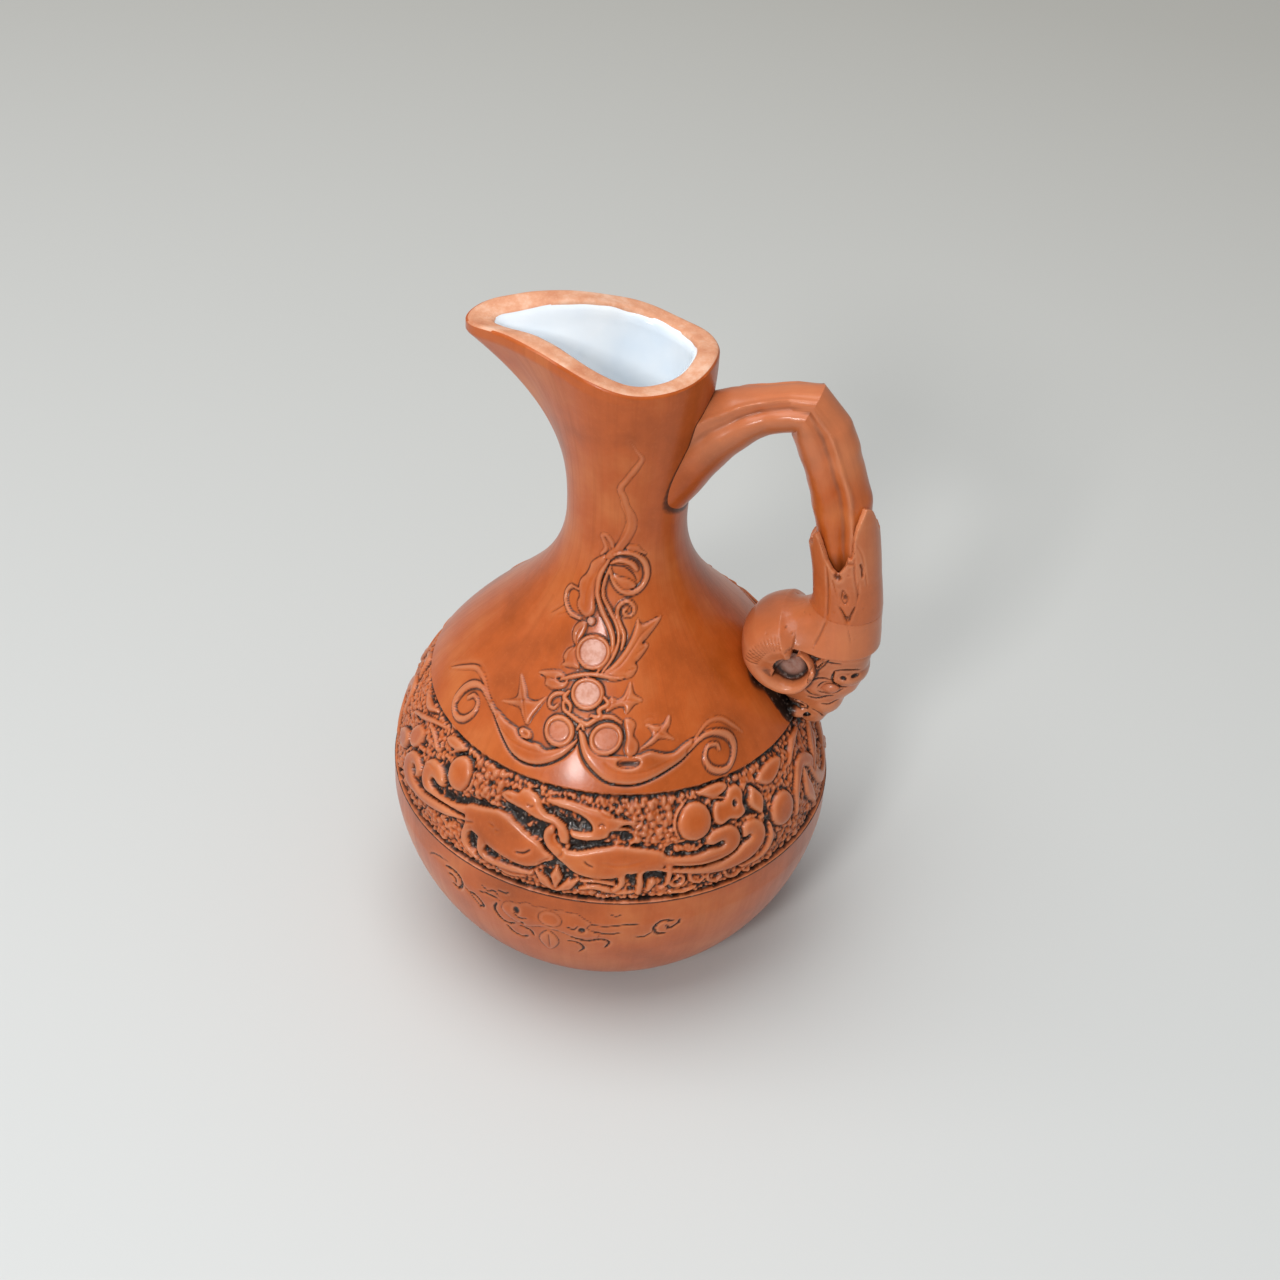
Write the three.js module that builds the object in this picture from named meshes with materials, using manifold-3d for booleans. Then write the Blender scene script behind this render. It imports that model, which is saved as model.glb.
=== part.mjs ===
// Wine jug of fired clay: a turned globe with a sunk frieze, a neck that flares to a pouring lip,
// and a ribbed handle that ends in a leaf cuff on a ram's head. Millimetres, +Z up.
// Origin: centre of the flat foot. The handle lies on +X, the pouring lip on -X.
import * as THREE from 'three';
import { mergeVertices } from 'three/addons/utils/BufferGeometryUtils.js';
import { TessellateModifier } from 'three/addons/modifiers/TessellateModifier.js';
import Module from 'manifold-3d';

const wasm = await Module();
wasm.setup();

// Driving dimensions of the turned body
const FOOT_RADIUS = 37;
const BELLY_RADIUS = 70.6;
const BELLY_HEIGHT = 55;
const HEEL_REACH = 25;
const HEEL_RISE = 10.7;
const LOWER_FULLNESS = 13.5;
const SHOULDER_FULLNESS = 54;
const NECK_SWEEP = 39;
const THROAT_RADIUS = 18;
const THROAT_HEIGHT = 156;
const JOINT_HEIGHT = 133;
const WALL = 5.5;
const FLOOR = 7;

// Driving dimensions of the mouth, a round back and a round lip joined by straight sides
const MOUTH_RADIUS = 25.6;
const MOUTH_CENTRE = -2.5;
const LIP_RADIUS = 10.3;
const LIP_CENTRE = -40;
const RIM_WIDTH = 6.6;
const RIM_BACK = 212;
const RIM_DIP = 209.8;
const RIM_SWELL = 215.2;
const RIM_TIP = 212.5;
const RIM_ROUND = 1.6;

// Glaze coat and clearances
const GLAZE = 1;
const SEAT_GAP = 0.35;

// Frieze: a sunk ground between two borders, with figures that come up to the body's surface
const FRIEZE_BOTTOM = 60.8;
const FRIEZE_TOP = 93.8;
const FRIEZE_DEPTH = 2;
const FIGURE_PROUD = 0.2;
const SPRIG_THICKNESS = 1.3;

// Driving dimensions of the handle
const ARM_RADIUS = 7;
const GRIP_RADIUS = 7.6;
const ROOT_HALF_HEIGHT = 16.5;
const RIDGE = 1.3;
const CORNER_REACH = 50.5;
const CORNER_HEIGHT = 201.5;
const GRIP_REACH = 69;
const GRIP_FOOT = 139;
const GRIP_BOW = 4.6;

// Leaf cuff
const CUFF_WALL = 1.7;
const NOTCH_RISE = 15;
const LEAF_RISE = 21.5;
const CUFF_SPREAD = 0.8;

// Ram's head and horns, set back from and dropped below the grip's foot
const HEAD_HALF_WIDTH = 7.2;
const HORN_SETBACK = 13;
const HORN_DROP = 20.8;
const HORN_HOLE = 5.1;
const HORN_OUTER = 16.4;
const HORN_TIP_OUTER = 7.4;
const HORN_THICKNESS = 5.8;
const HORN_RIBS = 14;
const EYE_RADIUS = 2.1;
const EYE_SETBACK = 11.6;
const EYE_DROP = 8.2;

const ROUND_STEPS = 44;
const GLAZE_STEPS = ROUND_STEPS / 2;

const CLAY = new THREE.Color('#b9683a');
const CLAY_DARK = new THREE.Color('#a5552c');
const GLAZE_WHITE = new THREE.Color('#e9eef1');

const group = new THREE.Group();

function clayMaterial(colour, roughness) {
  return new THREE.MeshStandardMaterial({ color: colour, roughness, metalness: 0 });
}

function addPiece(name, geometry, colour = CLAY, roughness = 0.5) {
  const mesh = new THREE.Mesh(geometry, clayMaterial(colour, roughness));
  mesh.name = name;
  group.add(mesh);
}

// Mesh helpers

// Skin over rings of equal count, with a fan at each end, or joined end to start.
function loft(rings, joined = false) {
  const count = rings[0].length;
  const positions = [];
  const index = [];
  for (const ring of rings) {
    for (const p of ring) positions.push(p.x, p.y, p.z);
  }
  const bands = joined ? rings.length : rings.length - 1;
  for (let k = 0; k < bands; k += 1) {
    const low = k * count;
    const high = ((k + 1) % rings.length) * count;
    for (let i = 0; i < count; i += 1) {
      const j = (i + 1) % count;
      index.push(low + i, low + j, high + j, low + i, high + j, high + i);
    }
  }
  if (!joined) {
    addFan(positions, index, rings[0], 0, true);
    addFan(positions, index, rings[rings.length - 1], (rings.length - 1) * count, false);
  }
  const geometry = new THREE.BufferGeometry();
  geometry.setAttribute('position', new THREE.Float32BufferAttribute(positions, 3));
  geometry.setIndex(index);
  return facingOut(geometry);
}

function addFan(positions, index, ring, first, backward) {
  const middle = new THREE.Vector3();
  for (const p of ring) middle.addScaledVector(p, 1 / ring.length);
  const hub = positions.length / 3;
  positions.push(middle.x, middle.y, middle.z);
  for (let i = 0; i < ring.length; i += 1) {
    const j = (i + 1) % ring.length;
    if (backward) index.push(hub, first + j, first + i);
    else index.push(hub, first + i, first + j);
  }
}

// Turns every face round when the enclosed volume comes out negative.
function facingOut(geometry) {
  const p = geometry.attributes.position;
  const index = geometry.index.array;
  const a = new THREE.Vector3();
  const b = new THREE.Vector3();
  const c = new THREE.Vector3();
  let volume = 0;
  for (let i = 0; i < index.length; i += 3) {
    a.fromBufferAttribute(p, index[i]);
    b.fromBufferAttribute(p, index[i + 1]);
    c.fromBufferAttribute(p, index[i + 2]);
    volume += a.dot(b.cross(c));
  }
  if (volume < 0) {
    for (let i = 0; i < index.length; i += 3) {
      const held = index[i + 1];
      index[i + 1] = index[i + 2];
      index[i + 2] = held;
    }
  }
  return geometry;
}

function toSolid(geometry) {
  const bare = geometry.clone();
  bare.deleteAttribute('normal');
  bare.deleteAttribute('uv');
  const merged = mergeVertices(bare);
  const vertProperties = new Float32Array(merged.attributes.position.array);
  const triVerts = new Uint32Array(merged.index.array);
  return new wasm.Manifold(new wasm.Mesh({ numProp: 3, vertProperties, triVerts }));
}

function toGeometry(solid) {
  const mesh = solid.getMesh();
  const geometry = new THREE.BufferGeometry();
  geometry.setAttribute('position', new THREE.BufferAttribute(mesh.vertProperties, 3));
  geometry.setIndex(new THREE.BufferAttribute(mesh.triVerts, 1));
  return geometry;
}

// Surface of the jug

// Radius of the turned body at a height, from two cubic curves that meet at the widest point.
const lowerCurve = new THREE.CubicBezierCurve(
  new THREE.Vector2(FOOT_RADIUS, 0),
  new THREE.Vector2(FOOT_RADIUS + HEEL_REACH, HEEL_RISE),
  new THREE.Vector2(BELLY_RADIUS, BELLY_HEIGHT - LOWER_FULLNESS),
  new THREE.Vector2(BELLY_RADIUS, BELLY_HEIGHT),
);
const upperCurve = new THREE.CubicBezierCurve(
  new THREE.Vector2(BELLY_RADIUS, BELLY_HEIGHT),
  new THREE.Vector2(BELLY_RADIUS, BELLY_HEIGHT + SHOULDER_FULLNESS),
  new THREE.Vector2(THROAT_RADIUS, THROAT_HEIGHT - NECK_SWEEP),
  new THREE.Vector2(THROAT_RADIUS, THROAT_HEIGHT),
);

function bodyRadius(height) {
  const curve = height < BELLY_HEIGHT ? lowerCurve : upperCurve;
  let low = 0;
  let high = 1;
  for (let step = 0; step < 30; step += 1) {
    const middle = (low + high) / 2;
    if (curve.getPoint(middle).y < height) low = middle;
    else high = middle;
  }
  return curve.getPoint((low + high) / 2).x;
}

// Distance from the axis to a plan of two discs joined by straight tangents, in direction angle.
function tearRadius(angle, backRadius, backCentre, tipRadius, tipCentre) {
  const slope = (backRadius - tipRadius) / (backCentre - tipCentre);
  const normal = new THREE.Vector2(-slope, Math.sqrt(1 - slope * slope));
  const ray = new THREE.Vector2(Math.cos(angle), Math.abs(Math.sin(angle)));
  const side = (backRadius + backCentre * normal.x) / ray.dot(normal);
  const hit = side * ray.x;
  if (side > 0 && hit < backCentre + backRadius * normal.x && hit > tipCentre + tipRadius * normal.x) {
    return side;
  }
  const onBack = side < 0 || hit >= backCentre + backRadius * normal.x;
  const centre = onBack ? backCentre : tipCentre;
  const radius = onBack ? backRadius : tipRadius;
  const along = centre * ray.x;
  return along + Math.sqrt(radius * radius - centre * centre * ray.y * ray.y);
}

function outerMouth(angle) {
  return tearRadius(angle, MOUTH_RADIUS, MOUTH_CENTRE, LIP_RADIUS, LIP_CENTRE);
}

function innerMouth(angle, inset) {
  const back = MOUTH_RADIUS - RIM_WIDTH - inset;
  const tip = LIP_RADIUS - RIM_WIDTH - inset;
  const tipShift = 0.3 * RIM_WIDTH;
  return tearRadius(angle, back, MOUTH_CENTRE, tip, LIP_CENTRE + tipShift);
}

// Value eased between stations of [place, value], with level ends.
function eased(stations, place) {
  for (let i = 1; i < stations.length; i += 1) {
    const [start, from] = stations[i - 1];
    const [end, to] = stations[i];
    if (place <= end) {
      const share = Math.min(1, Math.max(0, (place - start) / (end - start)));
      return from + (to - from) * (1 - Math.cos(Math.PI * share)) / 2;
    }
  }
  return stations[stations.length - 1][1];
}

const RIM_LINE = [
  [0, RIM_BACK],
  [1.15, RIM_DIP],
  [2.75, RIM_SWELL],
  [Math.PI, RIM_TIP],
];

function rimHeight(angle) {
  const turned = Math.abs(Math.atan2(Math.sin(angle), Math.cos(angle)));
  return eased(RIM_LINE, turned);
}

// Share of the way from throat to mouth plan: the back opens early, the lip sweeps out late.
const LIP_SWEEP = 2.3;
const LIP_FULL = 0.93;

function flare(angle, rise) {
  const towardLip = (1 - Math.cos(angle)) / 2;
  const back = Math.sin(Math.PI * Math.min(1, rise / LIP_FULL) / 2) ** 2;
  const lip = Math.min(1, rise / LIP_FULL) ** LIP_SWEEP;
  return back + (lip - back) * towardLip;
}

function outerRadius(angle, height) {
  if (height <= THROAT_HEIGHT) return bodyRadius(height);
  const rise = Math.min(1, (height - THROAT_HEIGHT) / (rimHeight(angle) - THROAT_HEIGHT));
  return THROAT_RADIUS + (outerMouth(angle) - THROAT_RADIUS) * flare(angle, rise);
}

function polar(angle, radius, height) {
  return new THREE.Vector3(radius * Math.cos(angle), radius * Math.sin(angle), height);
}

// Point at an offset along the normal of the jug's outer surface.
function skinPoint(angle, height, offset) {
  const step = 0.05;
  const here = polar(angle, outerRadius(angle, height), height);
  const up = polar(angle, outerRadius(angle, height + step), height + step).sub(here);
  const round = polar(angle + step / 10, outerRadius(angle + step / 10, height), height).sub(here);
  const normal = round.cross(up).normalize();
  return here.addScaledVector(normal, offset);
}

function circle(steps, place) {
  return Array.from({ length: steps }, (_, i) => place((2 * Math.PI * i) / steps));
}

// Ring whose steps crowd together toward the pouring lip.
function lipCircle(steps, place) {
  return circle(steps, (turn) => place(turn + 0.35 * Math.sin(turn)));
}

function bodyRing(steps, height, inset, around = circle) {
  return around(steps, (angle) => {
    const slopeStep = 0.5;
    const radius = bodyRadius(height);
    const rise = bodyRadius(height + slopeStep) - radius;
    const length = Math.hypot(rise, slopeStep);
    return polar(angle, radius - (inset * slopeStep) / length, height + (inset * rise) / length);
  });
}

function spread(from, to, count) {
  return Array.from({ length: count + 1 }, (_, i) => from + ((to - from) * i) / count);
}

// Belly

const INNER_HEIGHTS = [10, 19, 34, 55, 76, 95, 111, 122];

function belly() {
  const rings = [];
  const plain = (height) => rings.push(bodyRing(ROUND_STEPS, height, 0));
  rings.push(circle(ROUND_STEPS, (angle) => polar(angle, FOOT_RADIUS, 0)));
  [4, 11, 21, 34, 47].forEach(plain);
  plain(FRIEZE_BOTTOM - 0.8);
  spread(FRIEZE_BOTTOM, FRIEZE_TOP, 4).forEach((height) => {
    rings.push(bodyRing(ROUND_STEPS, height, FRIEZE_DEPTH));
  });
  plain(FRIEZE_TOP + 0.8);
  spread(FRIEZE_TOP + 6, JOINT_HEIGHT, 6).forEach(plain);
  rings.push(flatRing(JOINT_HEIGHT, WALL));
  [...INNER_HEIGHTS].reverse().forEach((height) => rings.push(bodyRing(ROUND_STEPS, height, WALL)));
  const floorRadius = bodyRadius(INNER_HEIGHTS[0]) - 2.2 * WALL;
  rings.push(circle(ROUND_STEPS, (angle) => polar(angle, floorRadius, FLOOR)));
  addPiece('belly', loft(rings));
}

// Ring of the inner wall on the level joint between belly and neck.
function flatRing(height, inset, around = circle) {
  return around(ROUND_STEPS, (angle) => polar(angle, bodyRadius(height) - inset * 1.12, height));
}

// Neck with mouth and pouring lip

const RISES = [0, 0.16, 0.32, 0.48, 0.64, 0.79, 0.93];

function neckOuterPoint(angle, rise) {
  const height = THROAT_HEIGHT + rise * (rimHeight(angle) - THROAT_HEIGHT);
  const radius = THROAT_RADIUS + (outerMouth(angle) - THROAT_RADIUS) * flare(angle, rise);
  return { radius, height };
}

function neckInnerPoint(angle, rise, inset) {
  const height = THROAT_HEIGHT + rise * (rimHeight(angle) - THROAT_HEIGHT);
  const narrow = THROAT_RADIUS - WALL - inset;
  const radius = narrow + (innerMouth(angle, inset) - narrow) * flare(angle, rise);
  return { radius, height };
}

function neckOuterRings(steps, offset) {
  return RISES.map((rise) => lipCircle(steps, (angle) => {
    const { height } = neckOuterPoint(angle, rise);
    return skinPoint(angle, height, offset);
  }));
}

function neckInnerRings(steps, inset) {
  return [...RISES].reverse().map((rise) => lipCircle(steps, (angle) => {
    const { radius, height } = neckInnerPoint(angle, rise, inset);
    return polar(angle, radius, height);
  }));
}

// Rounded lip edge: rings between the outer wall and the inner wall at the rim.
function rimRings(steps) {
  const edges = [
    [0, 1, 0.4],
    [0.35, 0.35, 0],
    [1.3, 0, 0],
  ];
  const outer = edges.map(([inward, down]) => lipCircle(steps, (angle) => {
    const radius = outerMouth(angle) - inward * RIM_ROUND;
    return polar(angle, radius, rimHeight(angle) - down * RIM_ROUND);
  }));
  const inner = lipCircle(steps, (angle) => polar(
    angle,
    innerMouth(angle, 0) + RIM_ROUND * 0.7,
    rimHeight(angle) - 0.2 * RIM_ROUND,
  ));
  return [...outer, inner];
}

// Heights of the lower neck's rings over the joint, as shares of the way to the throat
const LOWER_SPAN = THROAT_HEIGHT - JOINT_HEIGHT;
const LOWER_NECK = [0.13, 0.35, 0.57, 0.78].map((share) => share * LOWER_SPAN);
const LOWER_NECK_INSIDE = [0.39, 0.78].map((share) => share * LOWER_SPAN);

function neckSpout() {
  const start = JOINT_HEIGHT + SEAT_GAP;
  const rings = [lipCircle(ROUND_STEPS, (angle) => polar(angle, bodyRadius(start), start))];
  LOWER_NECK.forEach((above) => rings.push(bodyRing(ROUND_STEPS, JOINT_HEIGHT + above, 0, lipCircle)));
  rings.push(...neckOuterRings(ROUND_STEPS, 0));
  rings.push(...rimRings(ROUND_STEPS));
  rings.push(...neckInnerRings(ROUND_STEPS, 0));
  [...LOWER_NECK_INSIDE].reverse().forEach((above) => {
    rings.push(bodyRing(ROUND_STEPS, JOINT_HEIGHT + above, WALL, lipCircle));
  });
  rings.push(flatRing(start, WALL, lipCircle));
  addPiece('neck_spout', loft(rings, true));
}

// White glaze coat over the inside, from the floor to just under the lip
function glazeLining() {
  const skins = [WALL + SEAT_GAP, WALL + SEAT_GAP + GLAZE];
  const side = skins.map((inset, k) => {
    const floorRadius = bodyRadius(INNER_HEIGHTS[0]) - 2.2 * WALL - k * GLAZE - SEAT_GAP;
    const floorHeight = FLOOR + SEAT_GAP + k * GLAZE;
    const floorRing = lipCircle(GLAZE_STEPS, (angle) => polar(angle, floorRadius, floorHeight));
    const wall = INNER_HEIGHTS.map((height) => bodyRing(GLAZE_STEPS, height, inset, lipCircle));
    const joint = lipCircle(GLAZE_STEPS, (angle) => polar(
      angle,
      bodyRadius(JOINT_HEIGHT) - WALL * 1.12 - (inset - WALL),
      JOINT_HEIGHT,
    ));
    const lower = LOWER_NECK_INSIDE.map((above) => (
      bodyRing(GLAZE_STEPS, JOINT_HEIGHT + above, inset, lipCircle)
    ));
    const upper = neckInnerRings(GLAZE_STEPS, inset - WALL).reverse();
    return [floorRing, ...wall, joint, ...lower, ...upper];
  });
  addPiece('glaze_lining', loft([...side[0], ...side[1].reverse()]), GLAZE_WHITE, 0.12);
}

// Handle: a ribbed arm and grip that meet in one sharp mitred corner

const gripPath = new THREE.QuadraticBezierCurve3(
  new THREE.Vector3(CORNER_REACH, 0, CORNER_HEIGHT),
  new THREE.Vector3(GRIP_REACH - GRIP_BOW, 0, (CORNER_HEIGHT + GRIP_FOOT) / 2 + GRIP_BOW),
  new THREE.Vector3(GRIP_REACH, 0, GRIP_FOOT),
);
const ARM_ROOT_HEIGHT = 178.5;
const armPath = new THREE.QuadraticBezierCurve3(
  new THREE.Vector3(THROAT_RADIUS - 6, 0, ARM_ROOT_HEIGHT),
  new THREE.Vector3(THROAT_RADIUS + 6, 0, CORNER_HEIGHT - 5.5),
  new THREE.Vector3(CORNER_REACH, 0, CORNER_HEIGHT),
);

const SECTION_STEPS = 18;

// Section of the handle: round, with a ridge along its outer side and a furrow on either side of it.
function ribbedSection(centre, outward, acrossRadius, outRadius, ridge) {
  return circle(SECTION_STEPS, (turn) => {
    const off = Math.abs(Math.atan2(Math.sin(turn), Math.cos(turn)));
    const crest = ridge * Math.exp(-((off / 0.3) ** 2));
    const furrow = ridge * 0.7 * Math.exp(-(((off - 0.72) / 0.25) ** 2));
    const swell = 1 + (crest - furrow) / outRadius;
    const p = centre.clone();
    p.addScaledVector(outward, Math.cos(turn) * outRadius * swell);
    p.y += Math.sin(turn) * acrossRadius * swell;
    return p;
  });
}

function outwardOf(tangent) {
  return new THREE.Vector3(-tangent.z, 0, tangent.x).normalize();
}

const ROOT_SHARE = 0.62;
const ROOT_DROP = 3;
// Direction across the arm at its root, so that the root spreads down the neck
const ROOT_OUTWARD = new THREE.Vector3(-0.12, 0, 0.99);

function handleRings() {
  const rings = [];
  spread(0, 0.9, 6).forEach((share) => {
    const root = Math.max(0, 1 - share / ROOT_SHARE);
    const outRadius = ARM_RADIUS + (ROOT_HALF_HEIGHT - ARM_RADIUS) * root ** 1.5;
    const outward = outwardOf(armPath.getTangent(share)).lerp(ROOT_OUTWARD, root).normalize();
    const centre = armPath.getPoint(share);
    centre.z -= ROOT_DROP * root * root;
    rings.push(ribbedSection(centre, outward, ARM_RADIUS, outRadius, RIDGE * (1 - root)));
  });
  const before = outwardOf(armPath.getTangent(1));
  const after = outwardOf(gripPath.getTangent(0));
  const bisector = before.clone().add(after).normalize();
  const mitre = GRIP_RADIUS / bisector.dot(after);
  rings.push(ribbedSection(gripPath.getPoint(0), bisector, GRIP_RADIUS, mitre, RIDGE));
  spread(0.12, 1, 8).forEach((share) => {
    const foot = share === 1;
    const outward = foot ? new THREE.Vector3(1, 0, 0) : outwardOf(gripPath.getTangent(share));
    rings.push(ribbedSection(gripPath.getPoint(share), outward, GRIP_RADIUS, GRIP_RADIUS, RIDGE));
  });
  return rings;
}

// Solid of the neck grown by the seat gap, for the handle's root to be cut to.
function neckCutter() {
  const lower = LOWER_NECK.slice(1).map((above) => lipCircle(ROUND_STEPS, (angle) => (
    skinPoint(angle, JOINT_HEIGHT + above, SEAT_GAP)
  )));
  return toSolid(loft([...lower, ...neckOuterRings(ROUND_STEPS, SEAT_GAP)]));
}

function handle() {
  const solid = toSolid(loft(handleRings())).subtract(neckCutter());
  addPiece('handle', toGeometry(solid));
}

// Leaf cuff: a collar of pointed leaves round the grip's foot

function gripShareAt(height) {
  let low = 0;
  let high = 1;
  for (let step = 0; step < 24; step += 1) {
    const middle = (low + high) / 2;
    if (gripPath.getPoint(middle).z > height) low = middle;
    else high = middle;
  }
  return (low + high) / 2;
}

const CUFF_DROP = 27;
const CUFF_THINNING = 0.6;
const CUFF_STEPS = 36;
// Leafy edge by the turn from the outer side: share of the leaf's rise over the notch
const LEAF_LINE = [
  [0, 0.72],
  [0.5, 1],
  [1.2, 0.28],
  [1.65, 0],
  [2.17, 0.58],
  [2.65, 0.25],
  [Math.PI, 0.18],
];

function cuffPoint(turn, height, radius) {
  const share = gripShareAt(Math.max(height, GRIP_FOOT));
  const centre = gripPath.getPoint(share);
  const p = centre.clone();
  p.x += Math.cos(turn) * radius;
  p.y += Math.sin(turn) * radius;
  p.z = height;
  return p;
}

// Height of the leafy edge: two tall leaves on the outer side and two low ones on the inner side.
function leafEdge(turn) {
  const turned = Math.abs(Math.atan2(Math.sin(turn), Math.cos(turn)));
  return GRIP_FOOT + NOTCH_RISE + LEAF_RISE * eased(LEAF_LINE, turned);
}

function leafCuff() {
  const inside = GRIP_RADIUS + RIDGE + SEAT_GAP + 0.25;
  const outside = inside + CUFF_WALL;
  const foot = GRIP_FOOT - CUFF_DROP;
  const rings = [];
  spread(0, 1, 5).forEach((share) => {
    rings.push(circle(CUFF_STEPS, (turn) => {
      const height = foot + (leafEdge(turn) - foot) * share;
      const belled = outside + CUFF_SPREAD * (1 - share) - CUFF_THINNING * share;
      return cuffPoint(turn, height - 0.6 * share, belled);
    }));
  });
  rings.push(circle(CUFF_STEPS, (turn) => cuffPoint(turn, leafEdge(turn) - 1, inside)));
  const socket = GRIP_FOOT - SEAT_GAP;
  rings.push(circle(CUFF_STEPS, (turn) => cuffPoint(turn, (leafEdge(turn) + socket) / 2, inside)));
  rings.push(circle(CUFF_STEPS, (turn) => cuffPoint(turn, socket, inside)));
  const solid = toSolid(loft(rings)).subtract(browBlock(-SEAT_GAP / 2, -1));
  addPiece('leaf_cuff', toGeometry(solid), CLAY_DARK);
}

// Ram's head

const BROW_NEAR = new THREE.Vector3(GRIP_REACH - 14, 0, GRIP_FOOT - 8);
const BROW_FAR = new THREE.Vector3(GRIP_REACH + 11, 0, GRIP_FOOT - 20);

// Large block on one side of the brow line: side 1 above it, side -1 below it.
function browBlock(shift, side) {
  const size = 200;
  const along = BROW_FAR.clone().sub(BROW_NEAR).normalize();
  const normal = new THREE.Vector3(-along.z, 0, along.x);
  const block = new THREE.BoxGeometry(size, size, size);
  block.translate(0, 0, (side * size) / 2);
  block.rotateY(-Math.atan2(along.z, along.x));
  const middle = BROW_NEAR.clone().add(BROW_FAR).multiplyScalar(0.5).addScaledVector(normal, shift);
  block.translate(middle.x, middle.y, middle.z);
  return toSolid(block);
}

// Side view of the head from the grip's foot: crown, forehead, muzzle and the throat on the shoulder.
const fromFoot = ([x, y]) => new THREE.Vector2(GRIP_REACH + x, GRIP_FOOT + y);

function headOutline() {
  const crown = [
    [-43, -27], [-37, -22.5], [-31, -18.2], [-24, -13], [-17, -7.6], [-11, -3.2], [-3, -1], [5, -6],
    [10, -14], [9.8, -20.6], [9, -25.6], [7, -31], [4.2, -34.6], [2, -37.4], [0.2, -42.4],
    [-2.4, -46.2], [-6.2, -46.6], [-10.4, -44.4], [-15, -40], [-25, -34], [-37, -32],
  ];
  const curve = new THREE.SplineCurve(crown.map(fromFoot));
  return new THREE.Shape(curve.getSpacedPoints(30));
}

// Wedge between the lips, open toward the shoulder.
function mouthCut() {
  const shape = new THREE.Shape();
  const [low, inner, high] = [[-17, -41.4], [-5, -40.2], [-17, -38]].map(fromFoot);
  shape.moveTo(low.x, low.y);
  shape.lineTo(inner.x, inner.y);
  shape.lineTo(high.x, high.y);
  shape.closePath();
  const cut = new THREE.ExtrudeGeometry(shape, { depth: 40, bevelEnabled: false });
  cut.translate(0, 0, -20);
  cut.rotateX(Math.PI / 2);
  return toSolid(cut);
}

// Solid of the body grown by the seat gap, for the head's root to be cut to.
function grownBody() {
  const heights = spread(70, JOINT_HEIGHT + 8, 12);
  return toSolid(loft(heights.map((height) => circle(ROUND_STEPS, (angle) => (
    skinPoint(angle, height, SEAT_GAP)
  )))));
}

const bodyCutter = grownBody();
const HEAD_BEVEL = 4.8;

function ramHead() {
  const options = {
    depth: 2 * (HEAD_HALF_WIDTH - HEAD_BEVEL),
    bevelThickness: HEAD_BEVEL,
    bevelSize: HEAD_BEVEL * 0.7,
    bevelOffset: -HEAD_BEVEL * 0.7,
    bevelSegments: 3,
    curveSegments: 4,
  };
  const side = new THREE.ExtrudeGeometry(headOutline(), options);
  side.translate(0, 0, -(HEAD_HALF_WIDTH - HEAD_BEVEL));
  side.rotateX(Math.PI / 2);
  const blank = toSolid(side).subtract(mouthCut());
  const solid = blank.subtract(bodyCutter).subtract(browBlock(-1.5 * SEAT_GAP, 1));
  addPiece('ram_head', toGeometry(solid), CLAY_DARK);
}

// Horn: a tapering curl round an open centre, with ribs across it.
const HORN_START = THREE.MathUtils.degToRad(108);
const HORN_SWEEP = THREE.MathUtils.degToRad(318);
const HORN_STEPS = 30;
// Outer radius of the curl by its share of the sweep
const HORN_LINE = [
  [0, 0.78 * HORN_OUTER],
  [0.16, HORN_OUTER],
  [0.42, 0.79 * HORN_OUTER],
  [0.66, 0.58 * HORN_OUTER],
  [1, HORN_TIP_OUTER],
];

function ramHorn(name, side) {
  const seat = HEAD_HALF_WIDTH + SEAT_GAP;
  const rings = spread(0, 1, HORN_STEPS).map((share) => {
    const turn = HORN_START + HORN_SWEEP * share;
    const outer = eased(HORN_LINE, share);
    const rib = 0.35 * Math.cos(2 * Math.PI * HORN_RIBS * share) * (1 - share);
    const middle = (outer + HORN_HOLE) / 2;
    const halfBand = (outer - HORN_HOLE) / 2 + rib * 0.4;
    const halfDeep = (HORN_THICKNESS / 2) * (1 - 0.55 * share) + rib * 0.5;
    return Array.from({ length: 8 }, (_, i) => {
      const around = (2 * Math.PI * (i + 0.5)) / 8;
      const radius = middle + Math.cos(around) * halfBand;
      const deep = seat + halfDeep + 0.4 + Math.sin(around) * halfDeep;
      return new THREE.Vector3(
        GRIP_REACH - HORN_SETBACK + radius * Math.cos(turn),
        side * deep,
        GRIP_FOOT - HORN_DROP + radius * Math.sin(turn),
      );
    });
  });
  addPiece(name, toGeometry(toSolid(loft(rings)).subtract(bodyCutter)));
}

function ramEye(name, side) {
  const eye = new THREE.SphereGeometry(EYE_RADIUS, 10, 6);
  eye.scale(1.25, 0.45, 0.8);
  const solid = toSolid(eye);
  const geometry = toGeometry(solid);
  const reach = BROW_FAR.x - EYE_SETBACK;
  const height = BROW_FAR.z - EYE_DROP;
  geometry.translate(reach, side * (HEAD_HALF_WIDTH + 0.45 * EYE_RADIUS + SEAT_GAP), height);
  addPiece(name, geometry);
}

// Applied relief: flat outlines in millimetres round the body and up it, laid on its surface

const FIGURE_RADIUS = 67;
// Longest triangle edges, so that a flat piece bends with the broad belly or the slim neck
const BELLY_EDGE = 11;
const NECK_EDGE = 5.5;

// Flat solid of an outline, from depth 0 to 1.
function flatPrism(shape) {
  const options = { depth: 1, bevelEnabled: false, curveSegments: 4 };
  return toSolid(new THREE.ExtrudeGeometry(shape, options));
}

function smoothShape(points) {
  const shape = new THREE.Shape();
  const list = points.map(([x, y]) => new THREE.Vector2(x, y));
  shape.moveTo(list[0].x, list[0].y);
  list.slice(1).forEach((p) => shape.lineTo(p.x, p.y));
  shape.closePath();
  return shape;
}

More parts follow.
